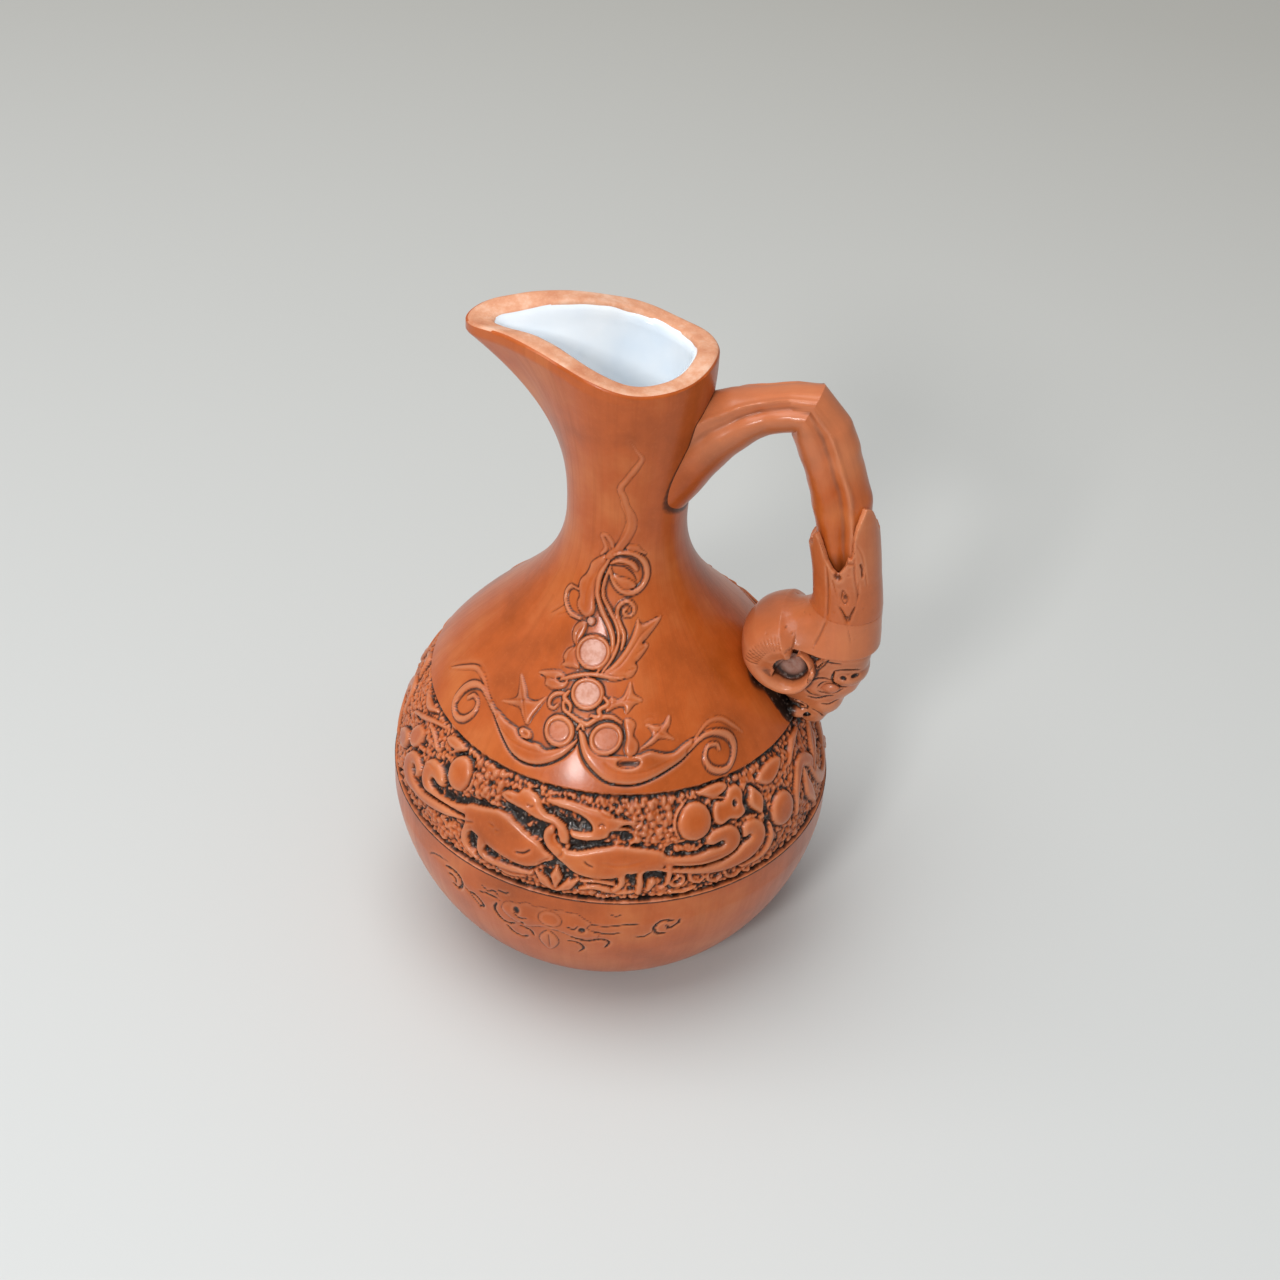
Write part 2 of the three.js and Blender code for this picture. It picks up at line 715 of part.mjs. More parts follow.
function disc(x, y, radius, squash = 1) {
  const shape = new THREE.Shape();
  shape.absellipse(x, y, radius, radius * squash, 0, 2 * Math.PI, false, 0);
  return shape;
}

// Band along a smooth line whose half width runs from one value over a middle one to another.
function band(points, widths, steps = 8) {
  const line = new THREE.SplineCurve(points.map(([x, y]) => new THREE.Vector2(x, y)));
  const left = [];
  const right = [];
  for (let i = 0; i <= steps; i += 1) {
    const share = i / steps;
    const place = share * (widths.length - 1);
    const k = Math.min(widths.length - 2, Math.floor(place));
    const half = (widths[k] + (widths[k + 1] - widths[k]) * (place - k)) / 2;
    const p = line.getPoint(share);
    const t = line.getTangent(share);
    left.push([p.x - t.y * half, p.y + t.x * half]);
    right.push([p.x + t.y * half, p.y - t.x * half]);
  }
  return smoothShape([...left, ...right.reverse()]);
}

// Joins flat shapes, cuts the triangles small and wraps them on the surface between two offsets.
function wrapped(shapes, azimuth, radiusAt, low, high, edge) {
  let solid = flatPrism(shapes[0]);
  shapes.slice(1).forEach((shape) => { solid = solid.add(flatPrism(shape)); });
  const fine = new TessellateModifier(edge, 7).modify(toGeometry(solid));
  const p = fine.attributes.position;
  for (let i = 0; i < p.count; i += 1) {
    const height = p.getY(i);
    const angle = azimuth + p.getX(i) / radiusAt(height);
    const point = skinPoint(angle, height, p.getZ(i) > 0.5 ? high : low);
    p.setXYZ(i, point.x, point.y, point.z);
  }
  fine.deleteAttribute('normal');
  return facingOut(mergeVertices(fine, 1e-4));
}

function figure(name, azimuth, shapes) {
  const low = -FRIEZE_DEPTH + SEAT_GAP;
  const piece = wrapped(shapes, azimuth, () => FIGURE_RADIUS, low, FIGURE_PROUD, BELLY_EDGE);
  addPiece(name, piece);
}

function sprig(name, azimuth, shapes, edge) {
  const high = SEAT_GAP + SPRIG_THICKNESS;
  const piece = wrapped(shapes, azimuth, bodyRadius, SEAT_GAP, high, edge);
  addPiece(name, piece);
}

// Frieze figures, x round the body from the ornament's middle, y the height over the foot

function stagLeftBody() {
  return smoothShape([
    [-31.5, 77.5], [-25, 81.2], [-19.5, 82.8], [-14, 81.5], [-9, 79], [-4.6, 77.2], [-3.2, 75.6],
    [-0.6, 74.2], [-2.6, 71.8], [-5.2, 69.6], [-9.5, 68.2], [-15, 68.6], [-20, 69.8], [-25, 71.4],
    [-30.5, 72.6],
  ]);
}

function stagRightBody() {
  return smoothShape([
    [-2.6, 82.6], [-3.8, 81], [-3.4, 78.5], [-1.6, 76], [1, 74], [3.4, 72.4], [6.5, 70.2], [11, 69],
    [17, 69.1], [22, 70.4], [29, 71.8], [32.5, 72.5], [33, 77.6], [26, 79.2], [19, 80], [12.5, 78.8],
    [7, 77.2], [3, 77.4], [0.4, 79.2], [-0.6, 81.6],
  ]);
}

function stagHeadLeft() {
  return smoothShape([
    [-20.5, 87], [-19, 89], [-15, 89.7], [-12, 91], [-8, 90.2], [-6.3, 88.2], [-4, 86.5], [-0.5, 85.9],
    [2.4, 84], [4, 81.3], [3.9, 79.2], [2, 78.9], [0.7, 80.6], [-0.2, 82.6], [-2.5, 83.7], [-7, 84.1],
    [-12.5, 85.3], [-18, 85.8],
  ]);
}

function stagHeadRight() {
  return smoothShape([
    [-4.6, 90.2], [2, 91], [9, 90.4], [15, 89.6], [19, 88], [26, 86.4], [20, 85.6], [23, 84.3],
    [17, 84], [15.6, 82.2], [12, 81.1], [7, 80.8], [5, 81.4], [4.6, 82.9], [8, 83], [10.9, 83.5],
    [9.4, 86.6], [4, 88.6], [-2, 89.2],
  ]);
}

function friezeFigures(prefix, azimuth) {
  const add = (name, shapes) => figure(`${prefix}_${name}`, azimuth, shapes);
  add('stag_left', [
    stagLeftBody(),
    band([[-28, 73.5], [-29.4, 69.5], [-27.6, 66], [-23, 63.4]], [4.5, 2.6, 1.6], 6),
    band([[-22, 71.5], [-23.6, 68], [-20.4, 65.2], [-13, 65.2], [-6, 66.4]], [4.5, 2.6, 1.8], 7),
  ]);
  add('stag_right', [
    stagRightBody(),
    band([[27, 73.5], [26.3, 68.6], [23, 64.2]], [4.5, 2.8, 1.8], 5),
    band([[20, 71], [21, 67.6], [18, 65], [10, 66.4]], [4, 2.4, 1.4], 6),
  ]);
  add('stag_head_left', [stagHeadLeft()]);
  add('stag_head_right', [stagHeadRight()]);
  add('leaf_band_left', [
    band([[-32.4, 76], [-40, 74.4], [-48, 73], [-52.4, 76], [-51.4, 80.4], [-46.4, 80]], [3, 2.6, 4, 3], 9),
    band([[-32.4, 73.6], [-42, 70.6], [-54, 68.6], [-62.6, 70], [-64, 74.6], [-59, 76.4], [-56.4, 74]],
      [2.4, 3, 4.4, 4, 1.8], 11),
  ]);
  add('leaf_band_right', [
    band([[33.4, 75.4], [42, 72.6], [52, 72.6], [56.4, 76.4], [54, 79.6], [48.6, 78.6]], [3.4, 3, 4, 4], 9),
    band([[33.4, 73], [44, 69], [56, 67.6], [64.4, 70.6], [65, 76], [61, 77.4]], [2.2, 3, 5, 5.4], 10),
  ]);
  add('pomegranate_left', [disc(-38.2, 85.4, 5.1, 0.94)]);
  add('pomegranate_right', [disc(43.2, 84.8, 6.1, 0.92)]);
  add('pomegranate_far', [disc(77.2, 76, 5.2, 0.96)]);
  add('grapes_left', grapeDiscs(-26.6, 87.2));
  add('grapes_right', grapeDiscs(30.6, 86.6));
  add('lotus', [
    band([[1.5, 70.6], [1.5, 67.4], [1.5, 63]], [0.8, 4, 1.6], 4),
    band([[-4.6, 67.2], [-1.6, 64.6], [1.6, 62.4]], [0.8, 3, 1.4], 4),
    band([[7.6, 67.2], [4.6, 64.6], [1.4, 62.4]], [0.8, 3, 1.4], 4),
  ]);
  add('vine_far', [
    band([[84, 70], [86.6, 78], [92, 83], [98, 80], [101, 73], [106, 67.6], [112, 69], [115, 76], [119, 83],
      [125, 82], [127, 76]], [1.6, 4.4, 4.6, 4.6, 4.4, 1.8], 16),
    band([[99.6, 76], [104, 82], [109, 89.6]], [1.6, 5.4, 1], 4),
    band([[92.6, 80.6], [93.4, 73], [97.4, 64]], [1.6, 5, 1], 4),
    band([[114, 74], [119.4, 70], [125.6, 65]], [1.6, 5, 1], 4),
  ]);
}

// Bunch of round berries set in a ring.
function grapeDiscs(x, y) {
  const berry = 2.1;
  const reach = 2.6;
  return circle(5, (angle) => disc(x + reach * Math.sin(angle), y + reach * Math.cos(angle), berry));
}

// Shoulder ornament, x round the body at its own height, y the height over the foot

const SLOPE_SQUASH = 0.75;

function shoulderOrnament(prefix, azimuth) {
  const add = (name, shapes, edge = BELLY_EDGE) => sprig(`${prefix}_${name}`, azimuth, shapes, edge);
  add('tendril', [
    band([[1.4, 180], [2.4, 174.5], [3.4, 170], [5, 164], [4, 158.4], [1.4, 153.4], [-1.2, 148.4],
      [-1.8, 142.4], [0.6, 136.6], [4, 131.6], [6.4, 127.6]], [0.8, 2.2, 4, 3, 3.4, 3.4, 1.6], 15),
    band([[-1.6, 150.4], [-4.6, 146.6], [-6.2, 142], [-6.6, 138.4]], [1.6, 4.6, 3], 5),
  ], NECK_EDGE);
  add('volute', [
    band([[3.4, 150.8], [8.2, 150.4], [10.9, 146.6], [9.4, 142.2], [5.4, 140.9], [2, 143.6], [3.2, 147.2]],
      [2.2, 3, 3, 1.8], 12),
  ], NECK_EDGE);
  add('leaf_left', [
    smoothShape([[-7.4, 135], [-9.8, 138.6], [-12.8, 134.8], [-18.4, 128.8], [-11.6, 131.6], [-7.2, 130.6],
      [-5.6, 132.6]]),
  ], NECK_EDGE);
  add('leaf_right', [
    smoothShape([[7.6, 120.4], [12.6, 121], [13.4, 123.2], [12.6, 124.4], [15.4, 126.6], [13.6, 128.2],
      [15.8, 131], [18.4, 133.9], [12.6, 133.2], [10.6, 134], [10.6, 129.4], [9.2, 125]]),
  ], NECK_EDGE);
  add('disc_upper', [disc(-0.5, 124.8, 5.4, SLOPE_SQUASH + 0.05)]);
  add('leafy_disc', [
    disc(0.6, 115.7, 5.9, SLOPE_SQUASH - 0.05),
    smoothShape([[5, 113.6], [6.6, 117], [9.4, 116.8], [13, 119], [13.8, 116.2], [17.2, 114], [13.4, 113.4],
      [12.2, 111.4], [9.8, 112.4]]),
    smoothShape([[-3.6, 117.6], [-9.4, 118.4], [-12, 116.6], [-16.2, 115.2], [-12.2, 113.6], [-9.6, 112.8],
      [-3.6, 113.2]]),
  ]);
  add('lily', [
    smoothShape([[-22, 114.2], [-19.4, 111.4], [-17.4, 109.4], [-11.6, 110.6], [-15.2, 107.8], [-15.4, 105.4],
      [-17.4, 105.6], [-19.2, 107.8], [-26.6, 106.8], [-20.8, 109.8]]),
  ]);
  add('blossom', [
    smoothShape([[19.6, 105.6], [22.4, 107.8], [19.4, 110.6], [24, 109.6], [27.4, 111.6], [27, 108.4],
      [30.4, 105.8], [25.6, 106.4], [22.6, 105.2]]),
  ]);
  add('scroll_left', [
    band([[-0.8, 104.2], [-4, 101.4], [-10, 99.8], [-17, 100.2], [-24, 102.2], [-30, 105], [-37, 108],
      [-43, 106.4], [-46.4, 102.4], [-43.6, 98.8], [-40.2, 100.2], [-40.6, 103]],
      [1, 3.4, 4.6, 3, 2.4, 2.4, 2.4, 2, 1.2], 18),
  ]);
  add('roundel_left', [disc(-5.4, 107.4, 4.6, SLOPE_SQUASH)]);
  add('scroll_right', [
    band([[2, 104.2], [5.6, 101], [12, 98.8], [20, 98.2], [28, 100], [35, 103], [41, 105.4],
      [47, 104.6], [50.4, 100.8], [47.4, 97.2], [43.6, 98.6]],
      [1, 3.4, 4.6, 3.4, 2.6, 2.4, 2.4, 2, 1.2], 18),
  ]);
  add('roundel_right', [disc(9.2, 106.9, 5.6, SLOPE_SQUASH)]);
}

belly();
neckSpout();
glazeLining();
handle();
leafCuff();
ramHead();
ramHorn('ram_horn_near', -1);
ramHorn('ram_horn_far', 1);
ramEye('ram_eye_near', -1);
ramEye('ram_eye_far', 1);
friezeFigures('front', -Math.PI / 2);
friezeFigures('back', Math.PI / 2);
shoulderOrnament('front', -Math.PI / 2);
shoulderOrnament('back', Math.PI / 2);

export default group;
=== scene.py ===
"""Wine jug of fired clay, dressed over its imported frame.

A turned globe with a frieze carved round it, a spray of leaves on the shoulder, a neck drawn out to a
pouring lip, and a ribbed handle that drops through a leaf cuff onto a ram's head. The inside is glazed
white. Sizes are in millimetres and become metres where a mesh is written.
"""
import logging
import math
from collections.abc import Callable, Sequence
from dataclasses import dataclass, field
from enum import Enum

import bpy
import numpy as np
from mathutils import Matrix, Vector


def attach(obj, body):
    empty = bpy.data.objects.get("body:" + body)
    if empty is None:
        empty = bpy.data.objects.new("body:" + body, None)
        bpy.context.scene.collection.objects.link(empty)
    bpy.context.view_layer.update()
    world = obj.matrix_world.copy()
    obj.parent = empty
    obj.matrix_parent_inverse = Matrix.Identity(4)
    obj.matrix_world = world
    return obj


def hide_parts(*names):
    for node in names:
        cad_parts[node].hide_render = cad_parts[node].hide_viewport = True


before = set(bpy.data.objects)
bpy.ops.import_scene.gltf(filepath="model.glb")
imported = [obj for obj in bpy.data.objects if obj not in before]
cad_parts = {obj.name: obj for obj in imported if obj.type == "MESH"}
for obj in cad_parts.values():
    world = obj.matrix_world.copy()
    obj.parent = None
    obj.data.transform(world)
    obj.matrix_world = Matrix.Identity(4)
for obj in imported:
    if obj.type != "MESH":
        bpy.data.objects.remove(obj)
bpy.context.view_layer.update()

LOG = logging.getLogger("wine_jug")
METRE = 0.001

Array = np.ndarray
Points = Sequence[tuple[float, float]]


class Slot(str, Enum):
    """Material slots of the record."""

    BODY = "clay_body"
    HEAD = "clay_head"
    RELIEF = "clay_relief"
    GLAZE = "white_glaze"


# Form of the jug


def cubic(points: Points, count: int = 400) -> Array:
    """Points along a cubic curve.

    Args:
        points: the four control points.
        count: how many points are wanted.

    Returns:
        An array of count rows and two columns.
    """
    t = np.linspace(0, 1, count)[:, None]
    a, b, c, d = (np.array(p, float) for p in points)
    return (1 - t) ** 3 * a + 3 * t * (1 - t) ** 2 * b + 3 * t * t * (1 - t) * c + t ** 3 * d


def smooth_line(points: Points, closed: bool = False, per: int = 6) -> Array:
    """Smooth line through its points.

    Args:
        points: the points that the line passes.
        closed: whether the line returns to its start.
        per: points made for each stretch.

    Returns:
        The points of the line.
    """
    p = np.array(points, float)
    if closed:
        p = np.vstack([p[-1], p, p[0], p[1]])
    else:
        p = np.vstack([2 * p[0] - p[1], p, 2 * p[-1] - p[-2]])
    t = (np.arange(per) / per)[:, None]
    parts = []
    for k in range(1, len(p) - 2):
        a, b, c, d = p[k - 1], p[k], p[k + 1], p[k + 2]
        parts.append(0.5 * (2 * b + (c - a) * t + (2 * a - 5 * b + 4 * c - d) * t ** 2
                            + (3 * b - a - 3 * c + d) * t ** 3))
    if not closed:
        parts.append(p[-2][None, :])
    return np.vstack(parts)


def ease(value: Array) -> Array:
    """Value held between 0 and 1 and eased at both ends."""
    held = np.clip(value, 0, 1)
    return held * held * (3 - 2 * held)


@dataclass(frozen=True)
class JugForm:
    """Outer form of the jug: a turned body, and a neck pushed out of round at the mouth."""

    foot_radius: float = 37.0
    belly_radius: float = 70.6
    belly_height: float = 55.0
    heel_reach: float = 25.0
    heel_rise: float = 10.7
    lower_fullness: float = 13.5
    shoulder_fullness: float = 54.0
    neck_sweep: float = 39.0
    throat_radius: float = 18.0
    throat_height: float = 156.0
    wall: float = 5.5
    mouth_radius: float = 25.6
    mouth_centre: float = -2.5
    lip_radius: float = 10.3
    lip_centre: float = -40.0
    rim_width: float = 6.6
    lip_sweep: float = 2.3
    lip_full: float = 0.93
    rim_line: tuple[tuple[float, float], ...] = ((0.0, 212.0), (1.15, 209.8), (2.75, 215.2), (math.pi, 212.5))

    def profile(self) -> Array:
        """Radius and height of the turned body from the foot to the throat."""
        lower = cubic([(self.foot_radius, 0), (self.foot_radius + self.heel_reach, self.heel_rise),
                       (self.belly_radius, self.belly_height - self.lower_fullness),
                       (self.belly_radius, self.belly_height)])
        upper = cubic([(self.belly_radius, self.belly_height),
                       (self.belly_radius, self.belly_height + self.shoulder_fullness),
                       (self.throat_radius, self.throat_height - self.neck_sweep),
                       (self.throat_radius, self.throat_height)])
        return np.vstack([lower, upper[1:]])

    def radius(self, height: Array) -> Array:
        """Radius of the turned body at a height."""
        line = self.profile()
        return np.interp(height, line[:, 1], line[:, 0])

    def climb(self) -> tuple[Array, Array]:
        """Heights, and the length of the skin below each of them."""
        height = np.linspace(0, 216, 2161)
        radius = self.radius(height)
        length = np.concatenate([[0], np.cumsum(np.hypot(np.diff(radius), np.diff(height)))])
        return height, length

    def tear(self, angle: Array, back: float, centre: float, tip: float, tip_centre: float) -> Array:
        """Distance from the axis to a plan of two discs joined by straight tangents.

        Args:
            angle: directions round the axis, 0 at the handle.
            back: radius of the disc at the handle.
            centre: its place along the handle's axis.
            tip: radius of the disc at the lip.
            tip_centre: its place.

        Returns:
            The distance in each direction.
        """
        slope = (back - tip) / (centre - tip_centre)
        nx, ny = -slope, math.sqrt(1 - slope * slope)
        cx, cy = np.cos(angle), np.abs(np.sin(angle))
        side = (back + centre * nx) / (cx * nx + cy * ny)
        hit = side * cx
        on_side = (side > 0) & (hit < centre + back * nx) & (hit > tip_centre + tip * nx)
        on_back = (side < 0) | (hit >= centre + back * nx)
        place = np.where(on_back, centre, tip_centre)
        size = np.where(on_back, back, tip)
        arc = place * cx + np.sqrt(np.clip(size ** 2 - (place * cy) ** 2, 0, None))
        return np.where(on_side, side, arc)

    def mouth(self, angle: Array) -> Array:
        """Outer plan of the mouth."""
        return self.tear(angle, self.mouth_radius, self.mouth_centre, self.lip_radius, self.lip_centre)

    def bore(self, angle: Array, inset: float) -> Array:
        """Inner plan of the mouth, drawn in by an inset."""
        less = self.rim_width + inset
        return self.tear(angle, self.mouth_radius - less, self.mouth_centre,
                         self.lip_radius - less, self.lip_centre + 0.3 * self.rim_width)

    def rim(self, angle: Array) -> Array:
        """Height of the rim, which dips at the sides and swells toward the lip."""
        turned = np.abs(np.arctan2(np.sin(angle), np.cos(angle)))
        height = np.full_like(turned, self.rim_line[-1][1])
        for (start, low), (end, high) in zip(self.rim_line[:-1], self.rim_line[1:]):
            share = np.clip((turned - start) / (end - start), 0, 1)
            here = (turned >= start) & (turned <= end)
            height = np.where(here, low + (high - low) * (1 - np.cos(np.pi * share)) / 2, height)
        return height

    def flare(self, angle: Array, rise: Array) -> Array:
        """Share of the way from the throat's plan to the mouth's plan."""
        toward_lip = (1 - np.cos(angle)) / 2
        share = np.clip(rise / self.lip_full, 0, 1)
        back = np.sin(np.pi * share / 2) ** 2
        return back + (share ** self.lip_sweep - back) * toward_lip

    def skin(self, angle: Array, height: Array) -> Array:
        """Distance of the outer skin from the axis."""
        span = self.rim(angle) - self.throat_height
        rise = np.clip((height - self.throat_height) / span, 0, 1)
        flared = self.throat_radius + (self.mouth(angle) - self.throat_radius) * self.flare(angle, rise)
        return np.where(height <= self.throat_height, self.radius(height), flared)

    def inner(self, angle: Array, rise: Array, inset: float) -> Array:
        """Distance of the neck's inner wall from the axis at a share of the neck's rise."""
        narrow = self.throat_radius - self.wall - inset
        return narrow + (self.bore(angle, inset) - narrow) * self.flare(angle, rise)


FORM = JugForm()


# Carving board: heights over the skin, laid out flat in millimetres


def blurred(field_: Array, reach: float, wrap: bool) -> Array:
    """Field softened by a bell curve.

    Args:
        field_: the values on the board.
        reach: width of the bell curve in cells.
        wrap: whether the board's sides join.

    Returns:
        The softened field.
    """
    half = max(1, int(3 * reach))
    bell = np.exp(-0.5 * (np.arange(-half, half + 1) / reach) ** 2)
    bell /= bell.sum()
    mode = "wrap" if wrap else "edge"
    wide = np.pad(field_, ((0, 0), (half, half)), mode=mode)
    across = np.array([np.convolve(row, bell, "valid") for row in wide])
    tall = np.pad(across, ((half, half), (0, 0)), mode="edge")
    return np.array([np.convolve(col, bell, "valid") for col in tall.T]).T


@dataclass
class Board:
    """Flat board on which the ornament is carved before it is laid round the jug."""

    left: float
    right: float
    low: float
    high: float
    pitch: float = 0.16
    deepest: float = -2.0
    height: Array = field(init=False)
    # Share of a painted pale reflection, kept as the pale attribute
    pale: Array = field(init=False)
    dark: Array = field(init=False)

    def __post_init__(self) -> None:
        """Lays out the empty board."""
        self.x = np.arange(self.left, self.right + self.pitch / 2, self.pitch)
        self.y = np.arange(self.low, self.high + self.pitch / 2, self.pitch)
        self.height = np.zeros((len(self.y), len(self.x)))
        self.pale = np.zeros_like(self.height)
        self.dark = np.zeros_like(self.height)

    def window(self, points: Array, margin: float) -> tuple[slice, slice, Array, Array]:
        """Part of the board round some points, with its coordinates."""
        x0, y0 = points.min(0) - margin
        x1, y1 = points.max(0) + margin
        cols = slice(max(0, int((x0 - self.left) / self.pitch)),
                     max(1, min(len(self.x), int((x1 - self.left) / self.pitch) + 2)))
        rows = slice(max(0, int((y0 - self.low) / self.pitch)),
                     max(1, min(len(self.y), int((y1 - self.low) / self.pitch) + 2)))
        xx, yy = np.meshgrid(self.x[cols], self.y[rows])
        return rows, cols, xx, yy

    def from_line(self, line: Array, margin: float) -> tuple[slice, slice, Array, Array]:
        """Distance to a line, and how far along it the nearest point lies."""
        rows, cols, xx, yy = self.window(line, margin)
        best = np.full(xx.shape, 1e9)
        share = np.zeros(xx.shape)
        step = np.hypot(*np.diff(line, axis=0).T)
        run = np.concatenate([[0], np.cumsum(step)])
        total = max(run[-1], 1e-6)
        for k in range(len(line) - 1):
            (ax, ay), (dx, dy) = line[k], line[k + 1] - line[k]
            size = max(dx * dx + dy * dy, 1e-9)
            t = np.clip(((xx - ax) * dx + (yy - ay) * dy) / size, 0, 1)
            gap = (xx - ax - t * dx) ** 2 + (yy - ay - t * dy) ** 2
            near = gap < best
            best = np.where(near, gap, best)
            share = np.where(near, (run[k] + t * step[k]) / total, share)
        return rows, cols, np.sqrt(best), share

    def from_outline(self, outline: Array, margin: float) -> tuple[slice, slice, Array]:
        """Distance to an outline, counted positive inside it."""
        closed = np.vstack([outline, outline[:1]])
        rows, cols, gap, _ = self.from_line(closed, margin)
        xx, yy = np.meshgrid(self.x[cols], self.y[rows])
        inside = np.zeros(xx.shape, bool)
        for (ax, ay), (bx, by) in zip(closed[:-1], closed[1:]):
            if ay == by:
                continue
            cross = ((ay > yy) != (by > yy)) & (xx < (bx - ax) * (yy - ay) / (by - ay) + ax)
            inside ^= cross
        return rows, cols, np.where(inside, gap, -gap)

    def press(self, rows: slice, cols: slice, inward: Array, relief: "Relief") -> None:
        """Raises a shape to its rounded face and cuts a trench round it."""
        t = np.clip(inward / relief.bevel, 0, 1)
        face = relief.edge + (relief.top - relief.edge) * np.sqrt(1 - (1 - t) ** 2)
        here = self.height[rows, cols]
        trench = here - relief.trench * np.clip(1 + inward / relief.moat, 0, 1)
        trench = np.maximum(trench, np.minimum(here, self.deepest))
        self.height[rows, cols] = np.where(inward > 0, face, trench)
        self.pale[rows, cols] = np.where(inward > 0, 0, self.pale[rows, cols])

    def shape(self, points: Points, relief: "Relief", sharp: bool = False) -> None:
        """Raises the inside of an outline."""
        outline = np.array(points, float) if sharp else smooth_line(points, closed=True)
        rows, cols, inward = self.from_outline(outline, relief.moat + 0.5)
        self.press(rows, cols, inward, relief)

    def ribbon(self, points: Points, widths: Sequence[float], relief: "Relief") -> None:
        """Raises a band along a line, whose width changes along it."""
        line = smooth_line(points)
        wide = max(widths) / 2
        rows, cols, gap, share = self.from_line(line, wide + relief.moat + 0.5)
        half = np.interp(share, np.linspace(0, 1, len(widths)), np.array(widths, float) / 2)
        self.press(rows, cols, half - gap, relief)

    def group(self, outlines: Sequence[Points], lines: Sequence[tuple[Points, Sequence[float]]],
              relief: "Relief") -> None:
        """Raises outlines and bands as one body, with no seam where they meet.

        Args:
            outlines: closed shapes of the body.
            lines: lines of its bands with their widths.
            relief: how the body stands.
        """
        total = np.full_like(self.height, -9.0)
        margin = relief.moat + 0.5
        for points in outlines:
            rows, cols, inward = self.from_outline(smooth_line(points, closed=True), margin)
            total[rows, cols] = np.maximum(total[rows, cols], inward)
        for points, widths in lines:
            rows, cols, gap, share = self.from_line(smooth_line(points), max(widths) / 2 + margin)
            half = np.interp(share, np.linspace(0, 1, len(widths)), np.array(widths, float) / 2)
            total[rows, cols] = np.maximum(total[rows, cols], half - gap)
        self.press(slice(None), slice(None), total, relief)

    def cut(self, points: Points, width: float, depth: float, taper: bool = True) -> None:
        """Cuts a groove along a line."""
        line = smooth_line(points)
        rows, cols, gap, share = self.from_line(line, width + 0.5)
        half = width / 2 * (np.sqrt(np.clip(1 - (2 * share - 1) ** 4, 0.05, 1)) if taper else 1)
        self.height[rows, cols] -= depth * np.clip(1 - (gap / half) ** 2, 0, 1)

    def sink(self, points: Points, level: float, soft: float = 0.8, sharp: bool = False) -> None:
        """Sinks the inside of an outline to a level."""
        outline = np.array(points, float) if sharp else smooth_line(points, closed=True)
        rows, cols, inward = self.from_outline(outline, soft + 0.5)
        share = ease(inward / soft + 0.5)
        here = self.height[rows, cols]
        self.height[rows, cols] = here + (np.minimum(level, here) - here) * share

    def pit(self, x: float, y: float, rx: float, ry: float, depth: float) -> None:
        """Presses one oval pit."""
        rows, cols, xx, yy = self.window(np.array([[x - rx, y - ry], [x + rx, y + ry]]), 0.4)
        away = ((xx - x) / rx) ** 2 + ((yy - y) / ry) ** 2
        self.height[rows, cols] -= depth * np.clip(1 - away, 0, 1) ** 0.5

    def oval(self, x: float, y: float, rx: float, ry: float) -> list[tuple[float, float]]:
        """Points round an oval."""
        turns = np.linspace(0, 2 * np.pi, 13)[:-1]
        return [(x + rx * math.cos(t), y + ry * math.sin(t)) for t in turns]

    def pebbles(self, box: tuple[float, float, float, float], size: float, top: float,
                seed: int, ground: float) -> None:
        """Strews round grains over the ground, as large as they fit.

        Args:
            box: left, right, low and high side of the strewn field.
            size: middle radius of a grain.
            top: height of a grain's crown.
            seed: start of the random series.
            ground: level that the grains stand on.
        """
        random = np.random.default_rng(seed)
        x0, x1, y0, y1 = box
        step = size * 1.72
        for row, yc in enumerate(np.arange(y0 + size, y1 - size * 0.4, step * 0.87)):
            for xc in np.arange(x0 + (row % 2) * step / 2, x1, step):
                x = xc + random.normal(0, 0.3 * size)
                y = yc + random.normal(0, 0.3 * size)
                r = size * random.uniform(0.62, 1.2)
                crown = top - random.uniform(0, 0.6)
                rows, cols, xx, yy = self.window(np.array([[x, y], [x, y]]), r + 0.2)
                away = ((xx - x) ** 2 + (yy - y) ** 2) / (r * r)
                dome = ground + (crown - ground) * np.sqrt(np.clip(1 - away, 0, 1))
                here = self.height[rows, cols]
                self.height[rows, cols] = np.where((away < 1) & (here < crown), np.maximum(here, dome), here)

    def crumble(self, amount: float, below: float, seed: int) -> None:
        """Roughens the sunk ground as torn clay is, in lumps and pits of 0.5 to 2 mm.

        Args:
            amount: how far the lumps stand.
            below: level over which the carving stays as it is.
            seed: start of the random series.
        """
        random = np.random.default_rng(seed)
        rough = np.zeros_like(self.height)
        for reach, share in ((0.28, 0.8), (0.75, 1.0)):
            lumps = blurred(random.normal(size=self.height.shape), reach / self.pitch, False)
            rough += share * lumps / lumps.std()
        self.height += amount * rough * ease((below - self.height) / 0.5)

    def finish(self, soften: float, wrap: bool, stain_and_shade: float = 1.0, floor: float = -9.0) -> None:
        """Softens the carving as wet clay does, and keeps what lies in recesses and on edges.

        Args:
            soften: reach of the softening in millimetres.
            wrap: whether the board's sides join.
            stain_and_shade: how strongly the narrow cuts darken, with painted shade and staining.
            floor: level under which the ground is darkened all over, with painted shade and staining.
        """
        self.height = blurred(self.height, soften / self.pitch, wrap)
        near = blurred(self.height, 0.6 / self.pitch, wrap)
        wide = blurred(self.height, 1.8 / self.pitch, wrap)
        # Recesses darken: painted shade in the narrow cuts, the wider hollows and the sunk ground, with staining
        self.recess = np.clip((near - self.height) / 0.3, 0, 1) * 0.8
        self.recess += np.clip((wide - self.height - 0.12) / 0.7, 0, 1) * 0.7
        self.recess = self.recess * stain_and_shade + np.clip((floor - self.height) / 0.25, 0, 1)
        self.worn_and_lit = np.clip((self.height - near) / 0.2, 0, 1)

